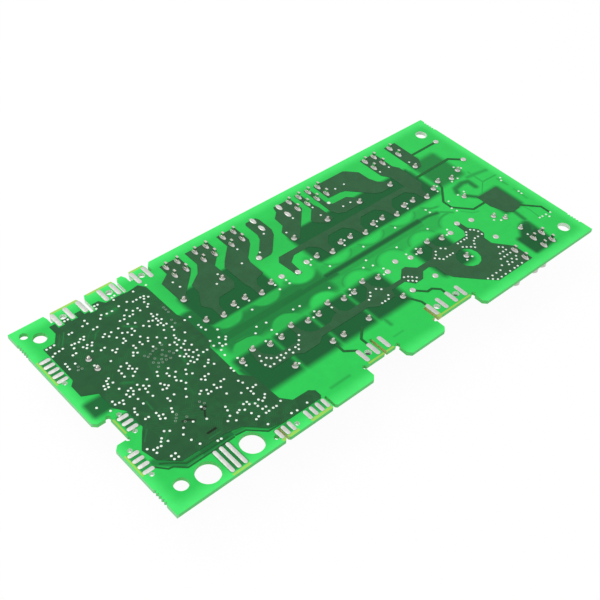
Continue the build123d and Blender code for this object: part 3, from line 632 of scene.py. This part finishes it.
# %% Gaps and marks on the control side
gap_lacquer = paint(34, 140, 66)
mark_colour = paint(24, 26, 18)
open_gaps = [
    # points in mm, then half width, blur and strength
    ([(11.0, 74.4), (14.6, 79.0)], 0.1, 0.35, 0.8),
    ([(9.6, 74.6), (13.2, 79.2)], 0.1, 0.3, 0.4),
    ([(20.6, 70.2), (22.6, 72.4), (24.0, 72.6)], 0.1, 0.35, 0.7),
    ([(17.6, 70.4), (20.4, 73.2), (23.2, 75.0)], 0.1, 0.35, 0.4),
    ([(30.0, 77.0), (34.0, 77.4)], 0.7, 0.9, 0.6),
    ([(31.4, 69.2), (34.4, 66.4)], 0.3, 0.7, 0.6),
    ([(37.6, 44.6), (38.8, 48.4)], 0.4, 0.9, 0.5),
    ([(16.6, 49.4), (19.4, 47.6)], 0.4, 0.8, 0.5),
    ([(17.6, 35.0), (17.9, 38.6)], 0.2, 0.5, 0.5),
    ([(24.0, 15.1), (28.2, 15.1)], 0.1, 0.3, 0.7),
    ([(8.4, 26.6), (11.8, 30.0)], 0.1, 0.4, 0.5),
    ([(12.0, 22.4), (16.6, 25.6)], 0.1, 0.5, 0.4),
    ([(40.0, 20.0), (44.0, 16.4)], 0.3, 0.8, 0.4),
    ([(33.0, 41.0), (31.0, 31.4)], 0.1, 0.5, 0.25),
]
dark_marks = [
    ([(24.9, 17.0), (27.9, 17.0)], 0.4, 0.3, 0.95),
    ([(28.3, 22.6), (29.9, 24.8)], 0.25, 0.3, 0.95),
    ([(29.4, 25.4), (30.8, 25.6)], 0.5, 0.4, 0.9),
    ([(21.8, 25.4), (23.4, 25.0), (24.9, 23.4)], 0.35, 0.35, 0.8),
    ([(21.4, 24.0), (20.4, 22.6)], 0.15, 0.3, 0.6),
]


# %% Masked copper materials
def masked_copper(name, colour, routed):
    """Dark lacquer over copper. routed adds the hairlines between fine tracks."""
    material, tree, shader = new_material(name)
    place = artwork_place(tree)
    normal, grain = bump_from_grain(tree, 320.0, 0.35, lacquer_grain_height)
    base = mix(tree, ramp(tree, grain, 0.35, 0.65), colour, scaled(colour, 0.86))
    if routed:
        patches = add_node(tree, "ShaderNodeTexVoronoi", {"Vector": place, "Scale": 0.16})
        pick = add_node(tree, "ShaderNodeSeparateColor", {0: patches.outputs["Color"]})
        quarter = calc(tree, "FLOOR", calc(tree, "MULTIPLY", pick.outputs[0], 3.99))
        angle = calc(tree, "MULTIPLY", quarter, math.pi / 4)
        turned = add_node(
            tree, "ShaderNodeVectorRotate", {"Vector": place, "Angle": angle}, rotation_type="Z_AXIS"
        )
        across = add_node(tree, "ShaderNodeSeparateXYZ", {0: turned.outputs[0]}).outputs["X"]
        track_pitch = 0.62
        saw = calc(tree, "PINGPONG", across, track_pitch / 2)
        hairline = ramp(tree, saw, 0.0, 0.11, 1.0, 0.0)
        routed_patch = calc(tree, "GREATER_THAN", pick.outputs[1], 0.45)
        waves = add_node(tree, "ShaderNodeTexNoise", {"Vector": place, "Scale": 0.35})
        routed_patch = calc(tree, "MULTIPLY", routed_patch, ramp(tree, waves.outputs["Fac"], 0.4, 0.55))
        hairline = calc(tree, "MULTIPLY", hairline, calc(tree, "MULTIPLY", routed_patch, 0.5))
        gaps = add_tracks(tree, place, hairline, open_gaps)
        base = mix(tree, gaps, base, gap_lacquer)
        marks = add_tracks(tree, place, 0.0, dark_marks)
        base = mix(tree, marks, base, mark_colour)
    finish_lacquer(tree, shader, base, normal)
    return material


control_copper = masked_copper("lacquered_control_copper", paint(39, 88, 52), True)
power_copper = masked_copper("lacquered_power_copper", paint(48, 94, 60), False)
supply_copper = masked_copper("lacquered_supply_copper", paint(48, 94, 60), False)
track_copper = masked_copper("lacquered_track_copper", paint(34, 98, 50), False)
far_side_copper = masked_copper("lacquered_far_side_copper", paint(30, 96, 52), False)
dress(control_copper, "copper_control_plane")
dress(power_copper, "copper_header_areas", "copper_far_bus", "copper_mains_area")
dress(supply_copper, "copper_supply_area")
dress(track_copper, "copper_signal_tracks")
dress(far_side_copper, "copper_component_side")

# %% [markdown]
# ## Tin and solder
# Contacts, pads and joints are all covered in tin. It is bright, but grainy and slightly uneven,
# so it mirrors the studio softly. One function makes them, with its own grain and roughness for
# each finish. The joints' sloping sides also get painted shade.


# %% Metal materials
def tinned(name, colour, roughness, grain_scale, grain_height, metallic=1.0, steep_side_shade=1.0):
    """A tinned surface with a soft, grainy shine. When the last argument is below 1, it paints
    shade on sloping faces, darkening their colour to that share.
    """
    material, tree, shader = new_material(name)
    normal, grain = bump_from_grain(tree, grain_scale, 0.5, grain_height)
    base = mix(tree, ramp(tree, grain, 0.35, 0.65), colour, scaled(colour, 0.8))
    if steep_side_shade < 1.0:
        # painted shade: faces that slope away from the sky are darkened towards the given share
        facing = add_node(tree, "ShaderNodeTexCoord").outputs["Normal"]
        upward = add_node(tree, "ShaderNodeSeparateXYZ", {0: facing}).outputs["Z"]
        base = mix(tree, ramp(tree, upward, 0.2, 0.78), scaled(colour, steep_side_shade), base)
    shader.inputs["Metallic"].default_value = metallic
    finish_grainy(tree, shader, base, normal, grain, roughness, 0.08)
    return material


bare_tin = paint(206, 204, 196)
contact_tin = tinned("contact_tin", paint(202, 203, 198), 0.5, 900.0, 0.04 * mm)
# the joints get painted shade on their sloping sides
solder_metal = tinned("bright_solder", paint(222, 223, 216), 0.26, 700.0, 0.03 * mm, steep_side_shade=0.34)
pad_tin = tinned("pad_tin", paint(206, 207, 201), 0.4, 900.0, 0.01 * mm)
via_tin = tinned("via_tin", paint(230, 240, 230), 0.5, 900.0, 0.01 * mm, metallic=0.35)
dull_tin = tinned("dull_tin", paint(158, 172, 160), 0.55, 900.0, 0.01 * mm, metallic=0.5)
pin_metal = tinned("tinned_pin", bare_tin, 0.3, 500.0, 0.01 * mm)
dress(pin_metal, "relay_pins", "header_tabs")

# %% [markdown]
# ## Solder joints
# Wave solder climbs a pin in a hollow cone. A disc is extruded upwards ring by ring, and each
# ring is drawn in, which gives that curve. One joint is modelled for each kind of lead, and then
# copied to the places of the CAD joints, which the separate solids of a node give.


# %% Modelling helpers
def solids_of(node):
    """The middle of the underside and the size of each separate solid in a CAD node."""
    shape = bmesh.new()
    shape.from_mesh(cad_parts[node].data)
    bmesh.ops.remove_doubles(shape, verts=shape.verts, dist=1e-6)
    left = set(shape.verts)
    boxes = []
    while left:
        front = [left.pop()]
        corners = list(front)
        while front:
            for edge in front.pop().link_edges:
                for vertex in edge.verts:
                    if vertex in left:
                        left.remove(vertex)
                        front.append(vertex)
                        corners.append(vertex)
        low = Vector([min(v.co[axis] for v in corners) for axis in range(3)])
        high = Vector([max(v.co[axis] for v in corners) for axis in range(3)])
        boxes.append((low, high))
    shape.free()
    boxes.sort(key=lambda box: (round(box[0].x, 5), round(box[0].y, 5)))
    found = []
    for low, high in boxes:
        middle = (low + high) / 2
        found.append((Vector((middle.x, middle.y, low.z)), high - low))
    return found


def start_disc(sides, radius, name):
    """A filled disc, alone in the selection, ready in edit mode."""
    bpy.ops.object.select_all(action="DESELECT")
    bpy.ops.mesh.primitive_circle_add(vertices=sides, radius=radius, fill_type="NGON")
    disc = bpy.context.object
    disc.name = name
    bpy.ops.object.mode_set(mode="EDIT")
    bpy.ops.mesh.select_all(action="SELECT")
    return disc


def draw_rings(rings):
    """Extrudes the selected face upwards. Each ring is a rise and a share of the width."""
    for rise, share in rings:
        bpy.ops.mesh.extrude_region_move(TRANSFORM_OT_translate={"value": (0, 0, rise)})
        bpy.ops.transform.resize(value=(share, share, 1))


def close_form(smooth_angle=50):
    """Ends edit mode with faces outwards and smooth shading."""
    bpy.ops.mesh.select_all(action="SELECT")
    bpy.ops.mesh.normals_make_consistent(inside=False)
    bpy.ops.object.mode_set(mode="OBJECT")
    bpy.ops.object.shade_smooth_by_angle(angle=math.radians(smooth_angle))


def join_pieces(pieces, name):
    """Joins pieces into the first one, under a new name."""
    bpy.ops.object.select_all(action="DESELECT")
    for piece in pieces:
        piece.select_set(True)
    bpy.context.view_layer.objects.active = pieces[0]
    if len(pieces) > 1:
        bpy.ops.object.join()
    pieces[0].name = name
    return pieces[0]


def place_copies(model, places, name):
    """Copies a model to each place, each copy with its own mesh, and joins them in one piece."""
    copies = []
    for place in places:
        twin = model.copy()
        twin.data = model.data.copy()
        scene.collection.objects.link(twin)
        twin.data.transform(Matrix.Translation(place))
        copies.append(twin)
    bpy.data.objects.remove(model)
    piece = join_pieces(copies, name)
    print(name, "copies:", len(places), "faces:", len(piece.data.polygons))
    return piece


def add_piece(piece, material, slot, *nodes):
    """Gives a finished piece its material and its place in the frame."""
    piece.data.materials.clear()
    piece.data.materials.append(material)
    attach(piece, "root")
    if nodes:
        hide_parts(*nodes)


# %% Joints round pins and wires
joint_sides = 18
long_pad_stretch = (1.0, 1.75, 1.0)
round_rings = [
    (0.10 * mm, 1.0),
    (0.18 * mm, 0.84),
    (0.22 * mm, 0.82),
    (0.26 * mm, 0.84),
    (0.20 * mm, 0.88),
]
for node, radius, name in (
    ("solder_relay_pins", 1.22 * mm, "joints_round_relay_pins"),
    ("solder_small_parts", 1.15 * mm, "joints_round_wires"),
):
    joint = start_disc(joint_sides, radius, name)
    draw_rings(round_rings)
    close_form()
    places = [foot for foot, size in solids_of(node)]
    add_piece(place_copies(joint, places, name), solder_metal, "solder", node)

# %% Joints on tab legs
leg_rings = [
    (0.08 * mm, 1.0),
    (0.20 * mm, 0.86),
    (0.25 * mm, 0.84),
    (0.25 * mm, 0.84),
    (0.15 * mm, 0.9),
]
joint = start_disc(joint_sides, 1.0 * mm, "joints_on_tab_legs")
bpy.ops.transform.resize(value=long_pad_stretch)
draw_rings(leg_rings)
close_form()
places = [foot for foot, size in solids_of("solder_tab_legs")]
add_piece(place_copies(joint, places, "joints_on_tab_legs"), solder_metal, "solder", "solder_tab_legs")

# %% [markdown]
# ## Bare pads
# Where no part is fitted, the wave leaves a low dome of tin on the pad, with a dimple over the
# open hole. Round pads belong to relays and test points, and long ones to tab legs.

# %% Bare pads
round_places = []
long_places = []
for foot, size in solids_of("bare_pads"):
    (long_places if size.y > 1.2 * size.x else round_places).append(foot)
pad_rings = [(0.06 * mm, 1.0), (0.14 * mm, 0.86), (0.06 * mm, 0.7), (-0.1 * mm, 0.62)]
pads = []
for name, radius, stretch, places in (
    ("round_pads", 1.18 * mm, (1.0, 1.0, 1.0), round_places),
    ("long_pads", 1.0 * mm, long_pad_stretch, long_places),
):
    pad = start_disc(joint_sides, radius, name)
    bpy.ops.transform.resize(value=stretch)
    draw_rings(pad_rings)
    close_form()
    pads.append(place_copies(pad, places, name))
add_piece(join_pieces(pads, "tinned_bare_pads"), pad_tin, "tin_plate", "bare_pads")

# %% [markdown]
# ## Contact fingers
# Plugs slide on the tinned fingers along the board's edges. Each finger is a flat bar with
# rounded ends and a slightly swollen face, where the tin was levelled by hot air. A plane is
# stretched to the finger's size, its corners are rounded, and its face is raised and inset.


# %% Rounded fingers
def model_finger(wide, deep, rise):
    """One finger of this size in metres, standing on the lacquer."""
    bpy.ops.object.select_all(action="DESELECT")
    bpy.ops.mesh.primitive_plane_add(size=1)
    finger = bpy.context.object
    bpy.ops.object.mode_set(mode="EDIT")
    bpy.ops.mesh.select_all(action="SELECT")
    bpy.ops.transform.resize(value=(wide, deep, 1))
    bpy.ops.mesh.bevel(offset=0.48 * min(wide, deep), segments=4, affect="VERTICES")
    bpy.ops.mesh.extrude_region_move(TRANSFORM_OT_translate={"value": (0, 0, rise)})
    bpy.ops.mesh.inset(thickness=0.16 * mm)
    bpy.ops.transform.translate(value=(0, 0, 0.03 * mm))
    close_form(40)
    return finger


for node in sorted(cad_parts):
    if not node.startswith("edge_contacts"):
        continue
    by_size = {}
    for foot, size in solids_of(node):
        key = (round(size.x, 5), round(size.y, 5), round(size.z, 5))
        by_size.setdefault(key, []).append(foot)
    name = node.replace("edge_contacts", "fingers")
    rows = [place_copies(model_finger(*size), places, name) for size, places in by_size.items()]
    add_piece(join_pieces(rows, name), contact_tin, "tin_plate", node)

# %% [markdown]
# ## Plated holes
# Small plated holes join the two sides of the board. Each is a tinned dot less than a millimetre
# across, with a slight hollow. They were placed one by one by whoever routed the board, so their
# places are lists, grouped by the region that they serve, in mm on the artwork.

# %% Places of the plated holes
far_contact_vias = [
    (6.2, 76.1), (7.6, 76.1), (9.1, 76.2), (6.1, 72.3), (7.4, 73.0), (8.9, 73.0), (10.4, 73.2),
    (15.4, 77.3), (16.6, 77.3), (20.9, 77.6), (22.8, 79.3), (22.8, 77.6), (17.6, 83.2), (18.9, 83.2),
    (29.2, 82.9), (30.4, 82.8), (29.0, 81.5), (36.1, 82.6), (37.3, 82.9), (35.9, 81.3), (43.4, 80.5),
    (48.7, 80.4), (27.4, 76.8), (28.6, 78.0), (30.4, 77.4), (32.4, 77.3), (35.5, 77.8), (38.8, 77.8),
    (40.5, 76.6), (41.9, 76.6), (43.6, 76.7), (44.9, 76.5), (44.2, 75.4), (45.9, 75.3), (43.3, 74.1),
    (43.8, 72.5), (42.8, 71.6), (22.8, 74.2), (24.4, 74.3), (13.5, 72.8), (14.6, 72.7), (16.0, 72.4),
    (17.1, 73.3), (17.8, 72.3), (18.6, 73.4), (13.3, 71.1), (36.4, 74.7), (34.4, 73.1), (37.9, 73.1),
    (39.8, 73.1), (31.8, 71.9), (33.4, 71.7), (35.6, 71.7), (36.9, 71.7), (39.9, 71.7), (11.3, 68.8),
    (12.6, 68.9), (15.8, 69.7), (17.4, 69.7), (19.2, 69.6), (16.5, 68.6), (18.4, 68.6), (23.3, 69.4),
    (24.5, 70.1), (25.0, 68.4), (26.6, 69.5), (29.4, 69.5), (33.0, 69.2), (35.2, 68.1),
]
upper_control_vias = [
    (7.4, 67.2), (7.3, 65.8), (7.2, 64.5), (9.9, 65.4), (17.1, 66.4), (26.6, 66.4), (29.2, 67.0),
    (30.7, 66.1), (32.8, 66.6), (19.5, 65.0), (21.0, 65.2), (28.1, 64.6), (31.1, 64.3), (32.9, 65.2),
    (36.5, 65.3), (39.1, 65.9), (37.9, 63.9), (40.3, 65.3), (41.8, 68.1), (41.6, 66.8), (43.1, 66.6),
    (41.8, 65.3), (41.7, 64.1), (43.0, 64.0), (40.4, 62.7), (41.7, 62.7), (41.8, 61.3), (43.0, 61.3),
    (26.8, 63.2), (28.0, 63.4), (22.3, 62.7), (23.8, 62.2), (22.6, 61.3), (32.8, 62.0), (14.1, 60.9),
    (19.2, 59.2), (28.7, 60.1), (28.7, 58.8), (31.2, 60.1), (31.3, 58.8), (34.4, 60.0), (33.6, 58.8),
    (36.8, 58.3), (40.6, 59.5), (43.5, 59.0), (43.2, 57.5), (26.9, 57.7), (26.1, 56.6), (27.9, 56.8),
    (38.9, 56.3), (20.3, 55.3), (22.6, 55.3), (18.8, 54.3), (22.6, 53.8), (18.8, 52.8), (21.6, 53.1),
    (22.6, 52.3), (23.7, 51.4), (18.7, 51.1), (22.5, 50.7), (21.0, 49.7), (14.4, 53.7), (13.3, 53.2),
    (11.5, 52.0), (12.9, 51.9), (14.5, 51.4), (11.1, 50.7), (12.4, 50.7), (14.5, 48.1), (33.4, 55.8),
    (36.1, 55.8), (41.7, 55.5), (41.4, 54.2), (41.7, 52.9), (45.3, 54.3), (39.9, 52.9), (38.0, 53.0),
    (39.9, 51.6), (43.0, 51.3), (41.8, 50.5), (38.3, 49.6), (40.1, 49.7), (43.6, 48.6), (40.5, 48.1),
    (41.5, 47.3), (37.6, 47.1), (38.5, 46.0), (39.7, 46.5), (42.0, 45.7), (43.5, 45.7), (39.7, 45.2),
    (4.8, 46.2), (9.9, 45.2), (16.2, 45.7), (17.5, 46.0), (19.8, 45.9), (23.5, 45.8), (27.8, 46.3),
    (31.5, 45.3), (17.4, 44.6), (21.1, 44.4), (27.0, 44.8), (14.9, 44.8),
]
lower_control_vias = [
    (9.9, 43.7), (11.3, 43.5), (12.7, 43.5), (12.1, 42.2), (7.4, 42.6), (15.2, 43.4), (16.6, 43.5),
    (19.2, 43.9), (20.9, 43.0), (22.4, 43.2), (16.6, 41.1), (20.6, 41.4), (20.9, 39.2), (25.7, 41.7),
    (26.4, 40.5), (24.8, 39.3), (26.1, 38.9), (27.2, 39.5), (29.8, 43.8), (29.8, 42.5), (30.9, 41.0),
    (32.4, 42.6), (30.4, 39.6), (31.4, 38.5), (32.1, 36.9), (35.4, 41.3), (34.5, 39.7), (36.1, 38.7),
    (37.5, 42.8), (38.9, 43.2), (39.5, 42.1), (41.0, 42.4), (40.5, 44.1), (42.4, 43.5), (44.5, 43.7),
    (46.1, 43.7), (43.7, 40.0), (42.8, 39.1), (41.0, 38.6), (44.0, 37.5), (13.5, 38.7), (12.8, 37.5),
    (12.8, 36.2), (16.8, 38.6), (13.7, 33.3), (14.9, 33.3), (23.8, 35.5), (26.3, 35.5), (23.8, 34.2),
    (30.5, 35.0), (36.7, 35.0), (38.4, 35.3), (39.9, 35.3), (37.6, 34.0), (17.6, 33.1), (17.6, 31.7),
    (18.9, 31.3), (17.2, 30.5), (18.5, 29.7), (22.3, 31.6), (21.7, 30.3), (28.7, 32.3), (32.6, 30.6),
    (33.7, 31.3), (35.3, 30.5), (34.7, 29.0), (36.0, 29.1), (38.4, 30.7), (38.3, 29.1), (39.5, 28.6),
    (41.0, 30.5), (42.3, 30.5), (47.0, 32.7), (47.0, 31.2), (45.4, 27.1), (46.0, 25.6), (39.2, 25.4),
    (42.9, 22.7), (45.7, 22.9), (45.7, 21.3), (47.3, 22.2), (48.6, 22.3), (45.7, 20.0), (7.3, 23.8),
    (8.6, 22.4), (10.0, 22.3), (11.2, 22.1), (8.7, 20.9), (12.1, 23.4), (13.0, 24.3), (15.2, 26.0),
    (16.6, 25.0), (13.9, 22.3), (11.3, 17.3), (12.8, 17.3), (11.3, 15.8), (12.8, 15.7), (20.5, 23.3),
    (18.9, 21.3), (19.5, 18.2), (20.6, 15.4), (24.2, 23.3), (28.1, 21.5), (29.7, 26.3), (25.4, 12.9),
    (26.7, 12.8), (35.5, 21.5), (35.1, 20.0), (34.3, 17.9), (32.5, 16.7), (34.7, 15.3), (36.9, 17.4),
    (38.0, 17.8), (39.4, 16.8), (40.5, 18.8), (41.9, 18.8), (41.9, 17.6), (43.5, 16.7), (45.3, 17.2),
    (43.5, 15.4), (46.0, 16.0), (47.3, 16.6), (48.3, 17.6), (40.1, 14.5), (43.9, 13.6), (45.3, 13.6),
    (39.7, 11.7), (41.0, 12.1), (43.7, 11.7), (44.9, 11.7), (46.7, 11.8), (48.0, 11.7), (50.3, 12.4),
    (41.2, 8.0), (49.7, 6.6), (51.8, 6.3), (56.3, 6.6),
]
power_vias = [
    (56.7, 75.7), (57.3, 72.4), (71.4, 69.2), (68.1, 65.6), (81.7, 68.2), (85.2, 74.9), (90.5, 68.6),
    (98.3, 75.4), (112.7, 75.3), (105.3, 70.7), (122.2, 70.1), (122.8, 75.3), (137.5, 78.1),
    (142.2, 78.1), (132.6, 68.6), (136.4, 68.6), (159.2, 74.8), (164.2, 74.8), (173.2, 72.0),
    (48.7, 58.8), (51.0, 58.9), (50.9, 54.2), (50.9, 52.8), (51.4, 51.0), (54.5, 48.6), (49.3, 46.1),
    (52.6, 45.6), (54.6, 44.4), (48.9, 43.7), (51.1, 43.4), (53.7, 43.5), (51.1, 41.9), (52.4, 41.7),
    (49.6, 40.7), (49.1, 38.3), (66.5, 52.3), (71.5, 52.4), (83.6, 52.5), (83.5, 49.9), (88.3, 52.0),
    (88.2, 50.0), (69.5, 48.4), (100.4, 52.3), (102.5, 54.3), (117.4, 52.3), (119.3, 54.3),
    (134.4, 52.4), (136.5, 54.4), (151.3, 52.3), (153.2, 54.5), (168.4, 52.2), (170.5, 54.5),
    (185.2, 58.6), (187.2, 56.4), (177.6, 52.8), (181.0, 52.8), (105.4, 47.5), (122.3, 47.4),
    (139.3, 47.5), (156.2, 47.4), (156.4, 45.4), (167.2, 45.4), (173.1, 45.7), (176.6, 45.7),
    (65.4, 41.4), (69.2, 40.8), (63.2, 39.3), (68.4, 37.1), (80.5, 39.7), (83.3, 39.5), (97.5, 39.6),
    (114.3, 39.4), (117.8, 41.6), (117.8, 38.1), (131.7, 39.5), (148.5, 39.4), (165.0, 41.8),
    (165.5, 39.6), (51.5, 34.7), (51.6, 30.5), (63.5, 34.5), (68.5, 34.6), (85.5, 34.5), (83.4, 32.5),
    (91.5, 32.1), (102.6, 34.5), (100.7, 32.4), (119.7, 34.6), (117.6, 32.3), (131.7, 34.7),
    (136.8, 34.5), (134.8, 32.4), (154.1, 34.5), (151.7, 32.5), (65.5, 20.3), (147.3, 18.6),
    (150.2, 18.7), (172.7, 27.0), (174.8, 25.2), (176.5, 13.6), (179.0, 12.3), (195.1, 42.4),
    (194.0, 41.0), (194.2, 32.3), (194.1, 30.7), (188.0, 16.8), (189.5, 16.7), (191.5, 16.5),
    (191.6, 14.9), (193.9, 16.3),
]
stitching_vias = [
    (57.6, 30.8), (56.6, 28.8), (58.8, 28.8), (59.9, 27.7), (56.5, 26.7), (57.3, 25.2), (59.0, 25.2),
    (61.5, 26.7), (61.5, 25.2), (63.3, 26.7), (63.3, 25.2), (65.1, 26.3), (67.0, 26.7), (67.1, 25.0),
    (69.3, 26.3), (70.8, 26.5), (69.6, 25.0), (72.3, 27.9), (73.9, 29.6), (104.2, 26.6),
    (105.9, 27.6), (107.1, 28.9), (110.0, 28.9), (111.4, 27.6), (111.2, 24.0), (106.7, 22.6),
    (108.2, 22.6), (109.9, 22.6), (122.2, 26.8), (123.6, 26.1), (124.6, 25.1), (125.7, 23.8),
    (122.1, 24.6), (123.3, 23.6), (124.2, 22.6), (138.4, 26.6), (140.1, 27.6), (141.4, 28.9),
    (144.2, 28.9), (145.5, 27.7), (139.6, 25.4), (140.6, 24.3), (142.6, 24.4), (144.3, 24.3),
    (145.8, 24.3), (151.3, 26.7), (153.0, 26.7), (154.9, 26.7), (156.3, 26.7), (157.6, 27.9),
    (158.7, 29.0), (161.0, 29.0), (162.0, 28.0), (162.7, 26.5), (162.6, 24.6), (160.4, 24.6),
    (158.7, 24.7), (157.3, 24.0), (156.1, 22.7), (154.8, 21.3), (153.8, 22.4), (152.5, 23.4),
    (151.3, 24.3), (146.8, 6.0), (163.1, 14.8), (162.0, 15.9),
]
stitching_rows = [
    # height of the row, and the places along it
    (4.8, (148.2, 150.3, 152.6, 155.1, 157.7, 159.5, 162.0)),
    (7.3, (145.6, 148.1, 150.3, 152.6, 157.5, 159.5, 162.0)),
    (8.65, (155.1, 158.3, 160.8, 163.3)),
    (11.1, (157.5, 159.5, 161.2, 163.0)),
    (13.2, (159.5, 161.3, 163.0)),
]
stitching_vias += [(x, y) for y, row in stitching_rows for x in row]

# %% Plated hole pieces
via_radius = 0.44 * mm
via_lift = 0.02 * mm
copper_rise = copper_top - lacquer_top


def small_holes(places, name, material, radius, rings):
    """Small discs with these rings on the artwork, as one piece."""
    disc = start_disc(10, radius, name)
    draw_rings(rings)
    close_form(30)
    spots = [on_board(x, y, lacquer_top) for x, y in places]
    add_piece(place_copies(disc, spots, name), material, "tin_plate")


def plated_holes(places, name, radius=via_radius):
    """Tinned dots, filled by the solder wave, one piece for each region."""
    rings = [(copper_rise + via_lift, 0.96), (0.03 * mm, 0.7)]
    small_holes(places, name, via_tin, radius, rings)


plated_holes(far_contact_vias, "plated_holes_far_contacts")
plated_holes(upper_control_vias, "plated_holes_upper_control")
plated_holes(lower_control_vias, "plated_holes_lower_control")
plated_holes(power_vias, "plated_holes_power")
plated_holes(stitching_vias, "plated_holes_stitching")
plated_holes([(129.6, 73.5)], "plated_hole_large", 0.75 * mm)

# %% Dull rings
# These holes were kept free of solder: under the controller, and where leads may be added.
dull_places = [
    (28.8, 54.3), (29.5, 53.2), (30.7, 53.7), (32.2, 54.3), (33.5, 54.5), (36.0, 54.7), (34.8, 52.7),
    (30.7, 51.3), (33.5, 51.2), (36.2, 50.8), (29.3, 50.2), (32.2, 49.7), (34.2, 50.0), (36.8, 49.4),
    (30.5, 49.0), (31.7, 48.4), (33.3, 48.6), (34.8, 48.3), (29.5, 47.7), (9.9, 63.7), (9.1, 62.5),
    (10.4, 62.3), (46.8, 68.0), (46.8, 66.7), (46.8, 65.3), (45.4, 61.7), (45.4, 59.8), (20.2, 26.9),
    (21.1, 27.7), (22.0, 28.7), (30.6, 28.2), (31.4, 26.8), (23.9, 26.0), (22.4, 24.9), (30.1, 25.1),
]
hollow_rings = [(copper_rise + 0.01 * mm, 0.97), (0.01 * mm, 0.72), (-0.09 * mm, 0.85)]
small_holes(dull_places, "dull_rings", dull_tin, 0.42 * mm, hollow_rings)

# %% [markdown]
# ## The hidden side
# Parts under the board are seen from low angles and from below. Relay cases are black moulded
# plastic with a parting line where the cover meets its base. Tab bases are natural nylon, and
# the capacitors and chips have the plain finishes of such parts.


# %% Materials of the hidden side
def moulded(name, colour, roughness, grain_scale, seam=None, leads=False):
    """Moulded plastic with fine grain. seam is the height in metres of a parting line.

    Where a part's wires belong to its own solid, leads turns all above the board's underside
    to tinned metal.
    """
    material, tree, shader = new_material(name)
    normal, grain = bump_from_grain(tree, grain_scale, 0.6, 0.04 * mm)
    lighter = tuple(min(1.0, value * 1.35 + 0.004) for value in colour[:3]) + (1.0,)
    base = mix(tree, ramp(tree, grain, 0.3, 0.75), colour, lighter)
    if seam is not None:
        distance = calc(tree, "ABSOLUTE", calc(tree, "SUBTRACT", height_above_floor(tree), seam))
        line = ramp(tree, distance, 0.08 * mm, 0.2 * mm, 1.0, 0.0)
        base = mix(tree, line, base, paint(8, 8, 8))
    if leads:
        is_lead = calc(tree, "GREATER_THAN", height_above_floor(tree), board_low.z - 0.05 * mm)
        base = mix(tree, is_lead, base, bare_tin)
        tree.links.new(is_lead, shader.inputs["Metallic"])
    finish_grainy(tree, shader, base, normal, grain, roughness, 0.06)
    return material


seam_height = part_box("relay_01")[1].z - 2.2 * mm
relay_case = moulded("relay_case_plastic", paint(38, 38, 41), 0.5, 900.0, seam_height)
header_nylon = moulded("natural_nylon", paint(226, 222, 204), 0.45, 700.0)
film_box = moulded("film_capacitor_box", paint(190, 160, 60), 0.35, 500.0, leads=True)
varistor_coat = moulded("varistor_coating", paint(60, 92, 168), 0.3, 400.0, leads=True)
can_sleeve = moulded("capacitor_sleeve", paint(34, 34, 38), 0.3, 500.0, leads=True)
chip_epoxy = moulded("chip_epoxy", paint(40, 40, 42), 0.55, 1200.0)
chip_ceramic = moulded("chip_ceramic", paint(170, 146, 112), 0.5, 1200.0)
dress(relay_case, *relay_nodes)
dress(header_nylon, *(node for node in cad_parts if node.startswith("tab_header")))
dress(film_box, "film_capacitor")
dress(varistor_coat, "varistor")
dress(can_sleeve, "can_capacitor")
dress(chip_epoxy, "chip_resistors", "microcontroller", "relay_driver_1", "relay_driver_2")
dress(chip_ceramic, "chip_capacitors")
